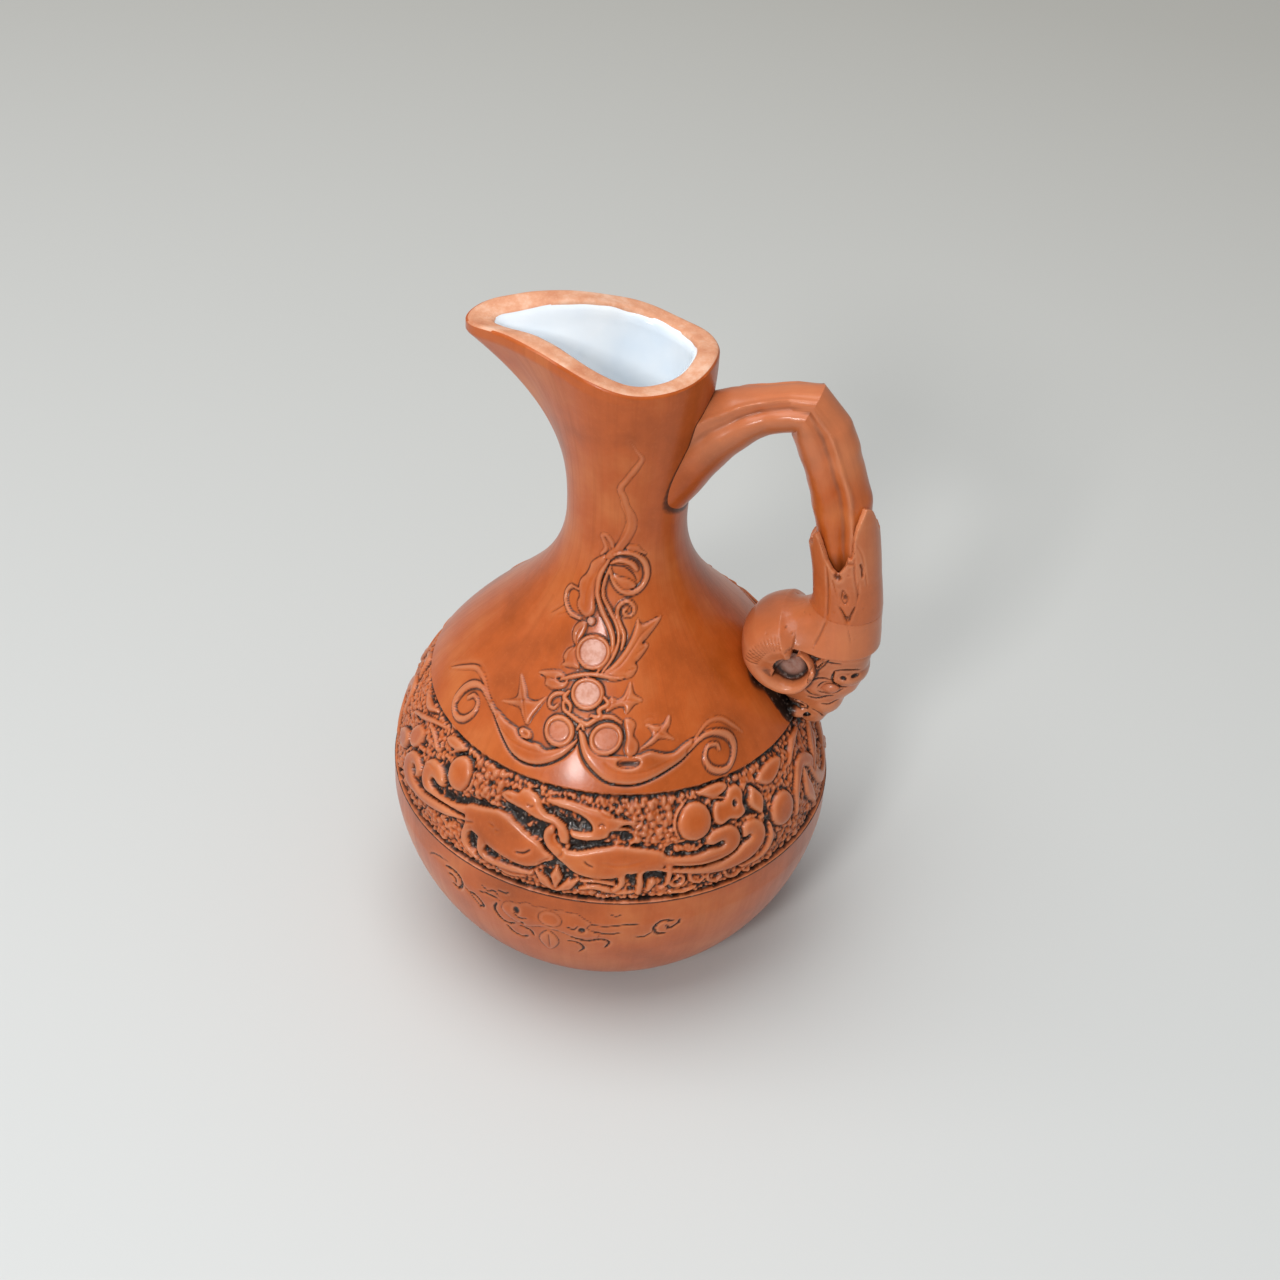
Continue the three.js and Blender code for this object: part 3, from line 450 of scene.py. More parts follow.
    def sample(self, values: Array, x: Array, y: Array) -> Array:
        """Values of the board at points between its cells."""
        u = np.clip((x - self.left) / self.pitch, 0, len(self.x) - 1.001)
        v = np.clip((y - self.low) / self.pitch, 0, len(self.y) - 1.001)
        i, j = v.astype(int), u.astype(int)
        fu, fv = u - j, v - i
        low = values[i, j] * (1 - fu) + values[i, j + 1] * fu
        high = values[i + 1, j] * (1 - fu) + values[i + 1, j + 1] * fu
        return low * (1 - fv) + high * fv


@dataclass(frozen=True)
class Relief:
    """How a shape stands on the board: face, edge, bevel, and the trench round it."""

    top: float
    edge: float
    bevel: float
    moat: float = 0.7
    trench: float = 0.4


# Frieze

GROUND = -1.75
BODY = Relief(top=0.3, edge=-0.75, bevel=2.2, moat=0.8, trench=0.5)
LIMB = Relief(top=0.05, edge=-0.9, bevel=1.0, moat=0.6, trench=0.5)
BALL = Relief(top=0.75, edge=-0.9, bevel=3.6, moat=1.0, trench=0.7)
LEAF = Relief(top=0.1, edge=-0.7, bevel=1.4, moat=0.6, trench=0.45)

STAG_LEFT = [
    (-31.5, 78.8), (-25.5, 81.1), (-19.5, 82.6), (-14.5, 81.6), (-9, 79.2), (-4.6, 77.4), (-3, 75.8), (0, 74),
    (-2.4, 71.6), (-5.2, 69.4), (-9.5, 68.2), (-15, 68.7), (-20, 69.8), (-25, 71.4), (-30, 73.2),
]
BAND_LEFT_HIGH = [
    (-25, 80.4), (-31.5, 78.6), (-37, 76.4), (-42, 75.4), (-46.5, 75.1), (-48.8, 75.8), (-49.3, 77), (-48, 77.9),
    (-45, 77.6), (-43, 78.1), (-43, 80), (-44.6, 81.8), (-48, 83), (-51.5, 82.6), (-54, 80.2), (-54.4, 77),
    (-53.4, 74), (-50.6, 72.2), (-46, 73), (-38, 74.5), (-31, 75.6), (-25, 76.6),
]
BAND_LEFT_LOW = [
    (-27, 75.4), (-34, 74.2), (-40, 73.4), (-46, 72), (-50.5, 70.7), (-54, 70.3), (-58, 70.6), (-60.6, 71.6),
    (-61.2, 73), (-60.4, 74.2), (-59, 74.4), (-57.8, 73.6), (-57.4, 72.6), (-56, 72.6), (-55.2, 74.2),
    (-55.6, 76), (-57.6, 77.4), (-60.5, 78), (-63.5, 77), (-66, 74.6), (-67.2, 71.6), (-66.4, 68.4),
    (-63.6, 66.4), (-60, 65.9), (-55.5, 66.6), (-50, 67.6), (-44, 69.2), (-38, 71), (-33, 72.8), (-29, 74),
]
HEAD_LEFT = [
    (-20.6, 87), (-19, 88.8), (-15, 89.4), (-13.6, 91), (-10, 91), (-7.4, 89.8), (-6.3, 88.2), (-4, 86.5),
    (-0.5, 85.9), (2.4, 84), (4, 81.3), (3.9, 79.2), (2, 78.9), (0.7, 80.6), (-0.2, 82.6), (-2.5, 83.7),
    (-7, 84.1), (-12.5, 85.3), (-18, 85.8),
]
STAG_RIGHT = [
    (-2.6, 82.6), (-3.8, 81), (-3.4, 78.5), (-1.6, 76), (1, 74), (3.4, 72.4), (6.5, 70.2), (11, 69), (17, 69.1),
    (22, 70.4), (29, 71.8), (33, 72.5), (33.4, 76.8), (30, 78.4), (26, 79.2), (19, 80), (12.5, 78.8), (7, 77.2),
    (3, 77.4), (0.4, 79.2), (-0.6, 81.6),
]
HEAD_RIGHT = [
    (-5.6, 89.9), (-2, 91), (3, 91.2), (9, 90.4), (15, 89.6), (18, 87.9), (22, 87.2), (26, 86.3), (20.4, 85.7),
    (23, 84.4), (17, 84), (15.6, 82.2), (12, 81.1), (7, 80.8), (4.6, 81.4), (4.4, 82.9), (8, 83), (10.9, 83.8),
    (9.6, 86.2), (5, 88.2), (-2, 89),
]
BAND_RIGHT_HIGH = [
    (30, 77.8), (34, 76), (39, 74.9), (44, 74.5), (48, 75.2), (51.4, 74.9), (52.8, 75.6), (52, 76.6), (49, 76.2),
    (47, 76.9), (46.8, 78.6), (48.6, 80.2), (52, 81), (55.6, 80.6), (58, 78.6), (58.8, 75.8), (57.8, 73.2),
    (55, 71.4), (50, 70.7), (45, 70.7), (39, 71.7), (33, 73.2), (29, 73.9),
]
BAND_RIGHT_LOW = [
    (28, 73.2), (34, 72), (40, 70.9), (46, 69.9), (51, 69.9), (56, 71), (58.6, 72.4), (60, 73.3), (62.4, 73.9),
    (62.2, 74.8), (60, 74.6), (59.6, 76.2), (60, 78.4), (62.4, 79.3), (65.6, 78.6), (68, 76), (68.4, 72.4),
    (66.6, 69.2), (63, 67), (58, 66.1), (52, 66.2), (46, 67.2), (40, 68.8), (34, 70.5), (28, 71.6),
]


LEGS_LEFT = [
    ([(-28, 75.5), (-30, 69.5), (-28.6, 66), (-24, 63.6)], [4.6, 2.8, 2.4, 1.4]),
    ([(-22.6, 73.5), (-23.6, 68), (-21, 65.6), (-14, 65.6), (-6, 66.6)], [4.6, 2.6, 2, 2.4, 1.4]),
]
LEGS_RIGHT = [
    ([(27, 75), (26.2, 68.6), (25.6, 64.2)], [4.4, 2.6, 2.0]),
    ([(20, 73), (20.6, 67.6), (18.6, 65.2)], [3.6, 2.2, 1.8]),
    ([(34.6, 73), (34.6, 68), (32.4, 65)], [2.4, 1.6, 1.2]),
    ([(28.4, 65), (29.6, 67.6)], [1.6, 2.4]),
]
VINE = [
    ([(84, 70), (86.6, 78), (92, 83), (98, 80), (101, 73), (106, 67.6), (112, 69), (115, 76), (119, 83), (125, 82),
      (127, 76)], [1.6, 4.4, 4.4, 4.4, 4.4, 1.8]),
    ([(99.6, 76), (104, 82), (109, 89.6)], [1.6, 5.4, 1]),
    ([(92.6, 80.6), (93.4, 73), (97.4, 64)], [1.6, 5, 1]),
    ([(114, 74), (119.4, 70), (125.6, 65)], [1.6, 5, 1]),
    ([(86, 86), (92, 90), (99, 91)], [1, 2.8, 1]),
    ([(112, 90), (118, 91), (122, 87)], [1, 2.8, 1]),
]


@dataclass
class FriezeCarving:
    """Running stags with crossed necks among leaf bands, pomegranates and pebbled ground."""

    radius: float = 67.0
    bottom: float = 60.8
    top: float = 93.8
    board: Board = field(init=False)

    def carve(self) -> Board:
        """Carves one half turn of the frieze and returns its board."""
        half = math.pi / 2 * self.radius
        self.board = Board(-half, half, 58.0, 97.0, deepest=-2.0)
        self.lay_ground()
        self.carve_leaves()
        self.carve_vine()
        self.carve_stags()
        self.carve_bands()
        self.carve_fruit()
        self.cut_borders()
        self.board.crumble(0.2, -0.3, 29)
        self.board.finish(soften=0.2, wrap=True, stain_and_shade=0.62, floor=-1.6)
        return self.board

    def lay_ground(self) -> None:
        """Sinks the ground, strews it with grains and digs the places that stay dark."""
        board = self.board
        wall = ease((board.y - self.bottom) / 0.7 + 0.5) * ease((self.top - board.y) / 0.7 + 0.5)
        board.height += (GROUND * wall)[:, None]
        half = board.right
        board.pebbles((-half, half, 61.4, 93.6), 0.95, -0.55, 11, GROUND)
        board.pebbles((-32, -20.5, 82.4, 93.4), 1.35, 0.0, 5, GROUND)
        board.pebbles((23.5, 36.5, 80.4, 93.4), 1.3, 0.0, 6, GROUND)
        board.pebbles((-52, -30, 64.6, 69.6), 1.1, -0.2, 7, GROUND)
        for outline in (
            [(-21, 84.8), (-14, 85.6), (-10.5, 84), (-4, 83.6), (-3.4, 79), (-9, 79.6), (-14, 82)],
            [(-46, 85.5), (-43, 84), (-41.6, 80.6), (-36, 79.4), (-31, 81.6), (-21, 82.8), (-30, 79), (-37, 76.6),
             (-43, 75.4), (-47, 75.8), (-48.6, 77.4), (-44, 78.4), (-43.4, 81), (-46.6, 83.6)],
            [(-6.6, 87.6), (-2, 89.2), (4, 88.6), (9, 86.6), (10.8, 83.8), (5, 83.2), (1, 85.4)],
            [(4.4, 78.2), (4.8, 80.6), (9, 80.6), (15, 81), (18, 80), (12, 79), (8, 77.6)],
            [(16, 82), (17, 84), (21, 84), (24, 82.6), (22, 80.8)],
            [(34, 76.4), (35, 79), (40, 79.4), (46, 79.4), (46.8, 76.4), (52, 76.4), (52, 75), (40, 75)],
            [(68.4, 83), (71.6, 81), (71.4, 76), (72.8, 72), (70, 70.6), (68.6, 74), (69.4, 78)],
            [(-56.4, 72.8), (-54, 75), (-52.4, 72.4), (-49, 71.4), (-52, 70.2), (-56, 70.4)],
            [(-3, 70), (-0.4, 73.6), (2.4, 73.6), (6, 70.6), (4, 66), (1.6, 63.4), (-1.4, 66)],
            [(58, 80), (62, 80.6), (66, 80), (69, 82), (70, 86), (66, 89.6), (62, 86), (60.6, 82)],
            [(-68.8, 74), (-67.6, 78), (-70, 82), (-72, 76), (-70, 70)],
        ):
            board.sink(outline, -1.95)
        board.pebbles((34.6, 46, 75.4, 79), 0.9, -1.0, 8, -1.95)

    def carve_leaves(self) -> None:
        """Carves the loose leaves, stems and small scrolls."""
        board = self.board
        for line, widths in (
            ([(-62, 88.4), (-56, 87.4), (-52, 85.6), (-50.6, 86.8), (-51.6, 88)], [1, 1.6, 1.4, 1]),
            ([(-74, 84), (-68, 86.6), (-60, 90), (-54, 91.8)], [1.2, 1.8, 1.4, 0.8]),
            ([(-40.4, 91.8), (-43.6, 90), (-46, 88)], [0.8, 1.1, 0.8]),
            ([(-75, 92), (-68, 90.6), (-62, 92.4)], [0.8, 2.6, 0.8]),
            ([(47.6, 91.4), (51, 90), (55.4, 88.6)], [0.8, 1.1, 0.8]),
            ([(71, 74.4), (70.8, 70), (68.8, 66.8), (64.6, 65.2), (58.4, 65)], [0.8, 2.4, 2.2, 1.6, 1]),
            ([(34.6, 70.4), (34.4, 67.6), (36, 65.4), (38.4, 65.6), (39.2, 67.6), (37.8, 68.8), (36.8, 67.6)],
             [1.6, 1.6, 1.3, 1.3, 1]),
            ([(41, 69), (41.4, 66.4), (43.6, 65), (45.6, 66), (45, 67.4)], [1.4, 1.4, 1.2, 1]),
            ([(46.6, 67.2), (47, 64.6), (49.4, 63.4), (51.4, 64.4)], [1.3, 1.3, 1.2, 1]),
            ([(52.4, 66), (53.4, 63.6), (56, 62.6), (58, 63.6)], [1.3, 1.3, 1.2, 1]),
            ([(35, 63.2), (39, 62.6), (43, 63.4)], [1, 1.4, 1]),
            ([(8.8, 67.6), (12.8, 68.2), (18, 67.4), (19.2, 66.2)], [1, 1.8, 1.6, 1]),
            ([(8.4, 64.6), (13, 66), (19, 64.6), (25, 64.4)], [1, 2.4, 2.2, 1]),
            ([(-23, 63.2), (-19, 64.8), (-13, 64), (-8, 64.8)], [1, 1.8, 2, 1]),
        ):
            board.ribbon(line, widths, LIMB)
        for outline in (
            [(-50.4, 90.6), (-47.6, 92.4), (-43.6, 92.8), (-40.4, 91.6), (-44, 89.8), (-48, 89.4)],
            [(-69.4, 80), (-67.8, 83.6), (-64.6, 85.2), (-61.4, 84.8), (-61.6, 81), (-64, 77.8), (-67.4, 77)],
            [(-75.6, 76.4), (-71.6, 77.6), (-69.4, 75.4), (-71.2, 71.6), (-75, 70.4), (-79, 73)],
            [(45.8, 92), (49.6, 93.2), (55, 93.2), (57.4, 91.4), (54, 89.8), (50, 90.2)],
            [(64, 84), (65, 86.6), (66.4, 88.4), (68.6, 86.4), (70, 84), (69.2, 80.8), (68, 79.2), (65.6, 81.4)],
            [(69.4, 88.4), (72, 90.6), (78, 91.6), (83, 90), (79, 86.8), (74, 85.8)],
            [(50.4, 86.8), (52, 88.6), (55, 88.2), (57, 90.4), (60.6, 91), (62.4, 88.4), (61.6, 85.4), (62, 82.6),
             (59, 81.2), (55.8, 82.2), (52.4, 81.4), (50.2, 83.6)],
        ):
            board.shape(outline, LEAF)
        board.pit(58.4, 86.2, 0.9, 1.2, 1.4)
        board.pit(-51.4, 86.9, 0.7, 0.7, 1.0)

    def carve_vine(self) -> None:
        """Carves the vine that fills the sides of the jug, half a turn from itself."""
        board = self.board
        for shift in (0.0, -2 * board.right):
            for line, widths in VINE:
                board.ribbon([(x + shift, y) for x, y in line], widths, LIMB if max(widths) < 4.5 else LEAF)
            for line, width, depth in (
                ([(97, 79.6), (100.4, 74.6), (105, 70.2)], 0.7, 0.3), ([(114, 74), (117.6, 79.6), (121, 81)],
                0.7, 0.3),
                ([(100.4, 77.4), (104, 82.4), (107.6, 87.4)], 0.6, 0.4), ([(115, 73), (119.6, 69.8),
                (124, 66.4)], 0.6, 0.4),
            ):
                board.cut([(x + shift, y) for x, y in line], width, depth)

    def carve_bands(self) -> None:
        """Cuts the lines along the long curling bands."""
        board = self.board
        board.pit(-59.4, 73.0, 1.3, 1.2, 2.2)
        board.cut([(-27, 75.5), (-31, 73.6), (-36, 71.9)], 0.8, 0.6)
        board.cut([(-38, 74.2), (-44, 72.9), (-50.4, 71.2)], 1.0, 1.2)
        board.cut([(-53.6, 79), (-51.4, 80.8), (-48, 81)], 0.6, 0.25)
        board.cut([(45, 70.3), (51, 70.1), (56, 71.4), (59, 73), (62.4, 73.6)], 1.1, 1.4)
        board.cut([(36, 74), (44, 72.4), (51, 72.6)], 0.6, 0.25)

    def carve_stags(self) -> None:
        """Carves legs, bodies with their bands, and heads, the left head over the right neck."""
        board = self.board
        board.group([STAG_LEFT, BAND_LEFT_HIGH, BAND_LEFT_LOW], LEGS_LEFT, BODY)
        board.group([STAG_RIGHT, BAND_RIGHT_HIGH, BAND_RIGHT_LOW], LEGS_RIGHT, BODY)
        board.shape(HEAD_RIGHT, BODY)
        board.shape(HEAD_LEFT, BODY)
        board.ribbon([(-1.8, 82.4), (-2.6, 80.6), (-1.6, 78), (1, 76)], [2.6, 3.2, 3, 3], BODY)
        board.sink([(-28.4, 71), (-26.4, 71.6), (-25.2, 70), (-24.8, 67), (-26, 66), (-28, 67.6)], -1.95, 0.6)
        board.sink([(-21.4, 69.2), (-18.6, 68.8), (-17, 67.4), (-19.6, 66.6), (-21.4, 67.6)], -1.9, 0.6)
        board.sink([(22, 71), (23.6, 70), (25, 67.2), (23.6, 66.8), (22.2, 68.6)], -1.95, 0.6)
        board.sink([(27, 71.2), (32.6, 71), (33.6, 67), (32.4, 65.6), (31.4, 68.4), (28.8, 69.2), (27.6, 66.6)],
                   -1.9, 0.6)
        for line, width, depth in (
            ([(-11.6, 72.4), (-9, 73), (-7, 74.8)], 0.9, 0.8),
            ([(9.2, 74.9), (10.4, 73.8), (12.2, 73.1)], 0.8, 0.7),
            ([(19, 85.3), (22, 85.4), (24.4, 85.2)], 0.9, 0.8),
            ([(-21.6, 77.8), (-19.8, 77.5)], 0.6, 0.4),
            ([(-19.2, 76.6), (-18, 76.8)], 0.6, 0.4),
            ([(14, 74.6), (20, 74), (27, 75.4)], 0.7, 0.2),
            ([(12, 90.2), (15.6, 88.2), (22, 88.2)], 0.7, 0.5),
            ([(-11, 87.4), (-9.6, 87), (-8.6, 87.6)], 0.7, 0.7),
            ([(12.6, 85.4), (13.8, 86.2), (15, 85.4)], 0.8, 0.6),
            ([(-20, 87.6), (-16.4, 87.4)], 0.5, 0.4),
        ):
            board.cut(line, width, depth)

    def carve_fruit(self) -> None:
        """Carves the pomegranates and the small lotus between the stags."""
        board = self.board
        for x, y, rx, ry in ((-38.2, 85.4, 5.1, 5.2), (43.5, 84.7, 5.9, 5.6), (77.4, 76, 5.4, 5.6)):
            board.shape(board.oval(x, y, rx, ry), BALL)
        # A husk holds the upper left of two of the fruits
        board.ribbon([(38.2, 80.6), (36.8, 84.4), (38, 88.2), (41.6, 91)], [0.5, 1.2, 1.3, 0.6], LIMB)
        board.ribbon([(-34.4, 81.2), (-32.4, 84.4), (-33, 88.6)], [0.5, 1.3, 0.6], LIMB)
        for line, widths in (
            ([(-4.8, 68), (-2, 65.2), (1.2, 62.8)], [0.8, 3.2, 1.2]),
            ([(8, 68), (5.2, 65.2), (1.8, 62.8)], [0.8, 3.2, 1.2]),
            ([(1.5, 70.8), (1.5, 67.6), (1.5, 64)], [0.8, 3.8, 1.2]),
            ([(-3.4, 71.4), (-0.6, 73.2)], [0.6, 1.2]),
        ):
            board.ribbon(line, widths, LEAF)

    def cut_borders(self) -> None:
        """Cuts the two lines that bound the frieze."""
        half = self.board.right
        for height in (self.bottom + 0.25, self.top + 0.15):
            self.board.cut([(-half - 2, height), (0, height), (half + 2, height)], 1.1, 0.55, taper=False)


# Shoulder and neck ornament, drawn in x and height, and carved in x and length up the skin

HEIGHTS, LENGTHS = FORM.climb()


def up(height: float) -> float:
    """Length up the skin at a height."""
    return float(np.interp(height, HEIGHTS, LENGTHS))


def laid(points: Points) -> list[tuple[float, float]]:
    """Points in x and height, laid on the skin."""
    return [(x, up(height)) for x, height in points]


STEM = Relief(top=0.85, edge=0.1, bevel=0.8, moat=0.4, trench=0.34)
RING = Relief(top=1.0, edge=0.12, bevel=0.75, moat=0.4, trench=0.34)
SPRAY_LEAF = Relief(top=0.62, edge=0.06, bevel=1.5, moat=0.4, trench=0.32)
TENDRIL = Relief(top=0.3, edge=0.0, bevel=1.3, moat=0.45, trench=0.34)
DISC = Relief(top=0.55, edge=0.2, bevel=0.8, moat=0.3, trench=0.5)
SCROLL = Relief(top=1.0, edge=0.1, bevel=1.7, moat=0.42, trench=0.4)


@dataclass
class SprayCarving:
    """Leaf spray with discs, roundels and curls, a tendril up the neck and two long scrolls."""

    low: float = 93.0
    high: float = 197.0
    board: Board = field(init=False)

    def carve(self) -> Board:
        """Carves one side's ornament and returns its board."""
        self.board = Board(-96.0, 96.0, up(self.low) - 1, up(self.high), deepest=-0.6)
        self.carve_scrolls()
        self.carve_flowers()
        self.carve_leaves()
        self.carve_stems()
        self.carve_discs()
        self.board.finish(soften=0.16, wrap=False, stain_and_shade=0.85)
        return self.board

    def ribbon(self, points: Points, widths: Sequence[float], relief: Relief) -> None:
        """Raises a band given in x and height."""
        self.board.ribbon(laid(points), widths, relief)

    def shape(self, points: Points, relief: Relief, sharp: bool = False) -> None:
        """Raises an outline given in x and height."""
        self.board.shape(laid(points), relief, sharp)

    def cut(self, points: Points, width: float, depth: float) -> None:
        """Cuts a groove given in x and height."""
        self.board.cut(laid(points), width, depth)

    def carve_scrolls(self) -> None:
        """Carves the two long scrolls that meet under the spray, and the curls at their ends."""
        self.shape([(1.3, 105.8), (0.2, 103.6), (-2.3, 101.1), (-6, 98.9), (-10.1, 97.5), (-14.8, 97.2),
                    (-18.8, 98.1),
                    (-22.2, 100), (-25.2, 101.9), (-27.9, 103.5), (-27.5, 104.7), (-25.2, 104.5), (-22.1, 103.9),
                    (-18.6, 103.6), (-16.7, 102.4), (-12.9, 102), (-10.4, 102.4), (-7.8, 101.6), (-4.1, 102.8),
                    (-1, 104.4)], SCROLL)
        self.shape([(0.7, 107.6), (2, 104.6), (4.2, 101.6), (7.7, 99.1), (11.9, 97.1), (16.7, 96.5), (21.4, 96.7),
                    (25.9, 97.9), (29.7, 99.4), (33.6, 101), (36.8, 103.2), (36.9, 105), (33.6, 104.5), (30.4, 103),
                    (26.8, 103.2), (23, 104), (19.9, 103.3), (17.2, 102.9), (13.2, 102.9), (9, 103.1), (5.2, 104.4),
                    (2.7, 107)], SCROLL)
        self.ribbon([(-26.6, 103.6), (-32.3, 105.6), (-36.4, 106.2), (-41.2, 104.6), (-44.9, 101.6), (-46.4, 98.4),
                     (-43.8, 96.7), (-39.6, 97.7), (-36.2, 100.5), (-35.6, 102.9), (-38.2, 103.5), (-40.8, 101.9)],
                    [1.5, 1.6, 1.6, 1.9, 2.1, 2.1, 2.0, 1.7, 1.4, 1.2, 0.8], STEM)
        self.ribbon([(35.2, 102.6), (38.1, 104.3), (41.9, 105), (47.4, 103.7), (51.2, 101.4), (52.4, 98.6), (51, 96),
                     (47.3, 96), (43.6, 97.6), (41.4, 100.2), (42, 102.3), (45.1, 102), (46.6, 100.6)],
                    [1.5, 1.6, 1.6, 1.9, 2.1, 2.1, 2.0, 1.7, 1.4, 1.2, 0.8], STEM)
        # Thin flames over the curls
        self.ribbon([(-30.6, 105.2), (-36.3, 107.6), (-41.9, 107.8), (-49.2, 105), (-56.9, 101.6)],
                    [0.9, 1.5, 1.3, 1.0, 0.4], TENDRIL)
        self.ribbon([(36.4, 104.4), (40.5, 107.2), (45.7, 106.9), (51.4, 104.2), (56.3, 101.4)],
                    [0.9, 1.5, 1.3, 1.0, 0.4], TENDRIL)
        self.cut([(-33, 107.8), (-38.9, 109.1), (-44.6, 107.6), (-51.9, 104.4), (-58.4, 101)], 0.45, 0.3)
        self.cut([(1.3, 105.6), (0.2, 103.4), (-2.4, 100.8), (-6.1, 98.6), (-10.2, 97.2), (-14.9, 96.9),
                  (-18.9, 97.8),
                  (-22.4, 99.7), (-25.4, 101.6), (-28.2, 103.4)], 0.9, 0.55)
        self.cut([(0.7, 107.2), (1.8, 104.3), (4, 101.3), (7.5, 98.8), (11.8, 96.8), (16.7, 96.2), (21.5, 96.4),
                  (26, 97.6), (29.9, 99.1), (33.8, 100.8), (36.6, 102.8)], 0.9, 0.55)
        self.cut([(-25, 102.4), (-19, 100.6), (-13, 100.4), (-8, 100.9)], 0.8, 0.22)
        self.cut([(10, 101.4), (15, 99.4), (22, 99.4), (30, 101.6)], 0.8, 0.22)
        self.board.shape(self.board.oval(17.2, up(101.4), 3.4, 1.6), TENDRIL)
        self.board.pit(17.2, up(101.4), 2.7, 0.95, 0.7)

    def carve_flowers(self) -> None:
        """Carves the lily with its dot, the half blossom and the flames beside the roundels."""
        self.shape([(13.3, 110.6), (14.9, 111.1), (16.9, 109.9), (16.9, 107.6), (19, 105.6), (18.9, 103.6),
                    (16.7, 102.9), (15.2, 104.6), (15, 107.1)], SPRAY_LEAF)
        self.shape([(-22.1, 114.3), (-18.6, 112.1), (-17.2, 110.4), (-14, 110.8), (-11.3, 112.3), (-13, 109.2),
                    (-14.1, 107.6), (-15.4, 105.2), (-17.8, 106.8), (-19.6, 107.9), (-26.6, 106.8), (-21.5, 109.1),
                    (-21.1, 111.2)], SPRAY_LEAF)
        self.cut([(-21.6, 113.4), (-19, 110.2), (-15.9, 105.8)], 0.6, 0.4)
        self.cut([(-25, 107.4), (-19.4, 109.4), (-13, 111)], 0.45, 0.3)
        self.board.shape(self.board.oval(-15.2, up(103.3), 2.3, 1.5), RING)
        self.board.pit(-15.2, up(103.3), 1.4, 0.9, 0.5)
        self.shape([(19.7, 104.4), (21.6, 106), (22.9, 107.3), (21.6, 108.7), (19.7, 109.8), (23, 109.4),
                    (25.2, 109.4), (26.9, 111.3), (27.6, 109.1), (27, 107.6), (30.3, 105.6), (25.5, 106.5),
                    (23.2, 105.4)], SPRAY_LEAF)
        self.cut([(20.4, 105), (24, 107.8), (26.7, 110.6)], 0.55, 0.4)
        self.cut([(20.6, 109.3), (23.6, 108), (28.6, 106.3)], 0.45, 0.3)
        self.cut([(18.6, 110.4), (20.6, 111.4), (23, 110.8)], 0.4, 0.25)

    def carve_leaves(self) -> None:
        """Carves the broad leaves that spread from the spray."""
        self.shape([(-9.2, 118.6), (-12.6, 117.8), (-15.9, 116.4), (-12.9, 116), (-12.5, 114.7), (-9.1, 114.5),
                    (-6.5, 115.4), (-5.6, 117), (-7.1, 118.1)], SPRAY_LEAF)
        self.cut([(-8, 117), (-11.6, 116.4), (-15, 116.2)], 0.6, 0.4)
        self.board.pit(-7.8, up(116.9), 1.7, 0.9, 0.7)
        self.shape([(7.7, 115.4), (10.1, 115.1), (11.6, 116), (12.7, 118.9), (14.4, 116.4), (17.6, 114.9),
                    (15.3, 114.1), (13.6, 112.2), (12.2, 113.7), (9.7, 113.3), (7.3, 112.2)], SPRAY_LEAF)
        self.cut([(8.4, 114.2), (12.4, 115), (16.6, 114.9)], 0.55, 0.4)
        self.cut([(12.4, 115), (12.7, 117.8)], 0.5, 0.3)
        self.shape([(-0.7, 150.9), (-3.3, 149.3), (-5.4, 147), (-5.9, 145), (-6.7, 143.1), (-8.3, 140.9),
                    (-8.6, 138.6), (-7.7, 136.7), (-8.1, 135), (-7.3, 133.3), (-5, 132.2), (-3.1, 132.5),
                    (-2.1, 134.3), (-2.6, 137.1), (-2.7, 141.8), (-1.2, 146.3)], SPRAY_LEAF)
        self.cut([(-2, 148), (-4.4, 143), (-5.6, 138.4), (-5.4, 135)], 0.9, 0.16)
        self.ribbon([(-8.4, 138.2), (-11.2, 137.9), (-12.6, 135.8), (-12, 133.4), (-9.6, 131.6), (-6.2, 131.3)],
                    [0.6, 1.1, 1.3, 1.4, 1.4, 0.9], STEM)
        self.cut([(-12.4, 132.8), (-15, 130.6), (-17.3, 128.9)], 0.5, 0.35)
        self.cut([(-11.2, 131.3), (-14.4, 129.6)], 0.4, 0.25)
        self.shape([(-3.9, 131), (-6.1, 130.5), (-7.6, 128.4), (-7.2, 126.3), (-6, 124.9), (-7.9, 123.7),
                    (-8.9, 121.9), (-8.1, 120.8), (-9, 119.8), (-5.9, 120.1), (-3.1, 120.5), (-4.5, 123.1),
                    (-5, 125.6), (-4.1, 127.6), (-3.6, 129.6)], SPRAY_LEAF)
        self.cut([(-4.8, 129.6), (-6.2, 127.6), (-5.8, 125.2), (-7.4, 122.8), (-7.2, 121)], 0.5, 0.25)
        self.shape([(2.8, 119.8), (5.6, 121.9), (8.2, 124.9), (10, 128.6), (10.7, 131.9), (11, 133.4), (12.6, 131.8),
                    (18.5, 133.1), (15.3, 129), (13.7, 127.3), (15.8, 126.8), (13.9, 124), (12.8, 123.1),
                    (13.7, 121.8), (12.4, 119.9), (8.3, 119.7)], SPRAY_LEAF)
        self.cut([(16.6, 132.2), (13, 129.6), (11.2, 126.6), (8.6, 122.6), (5, 120.4)], 0.7, 0.3)
        self.cut([(14.9, 126.7), (12.4, 125)], 0.6, 0.3)
        self.cut([(13.2, 121.9), (10.4, 121.2)], 0.6, 0.3)

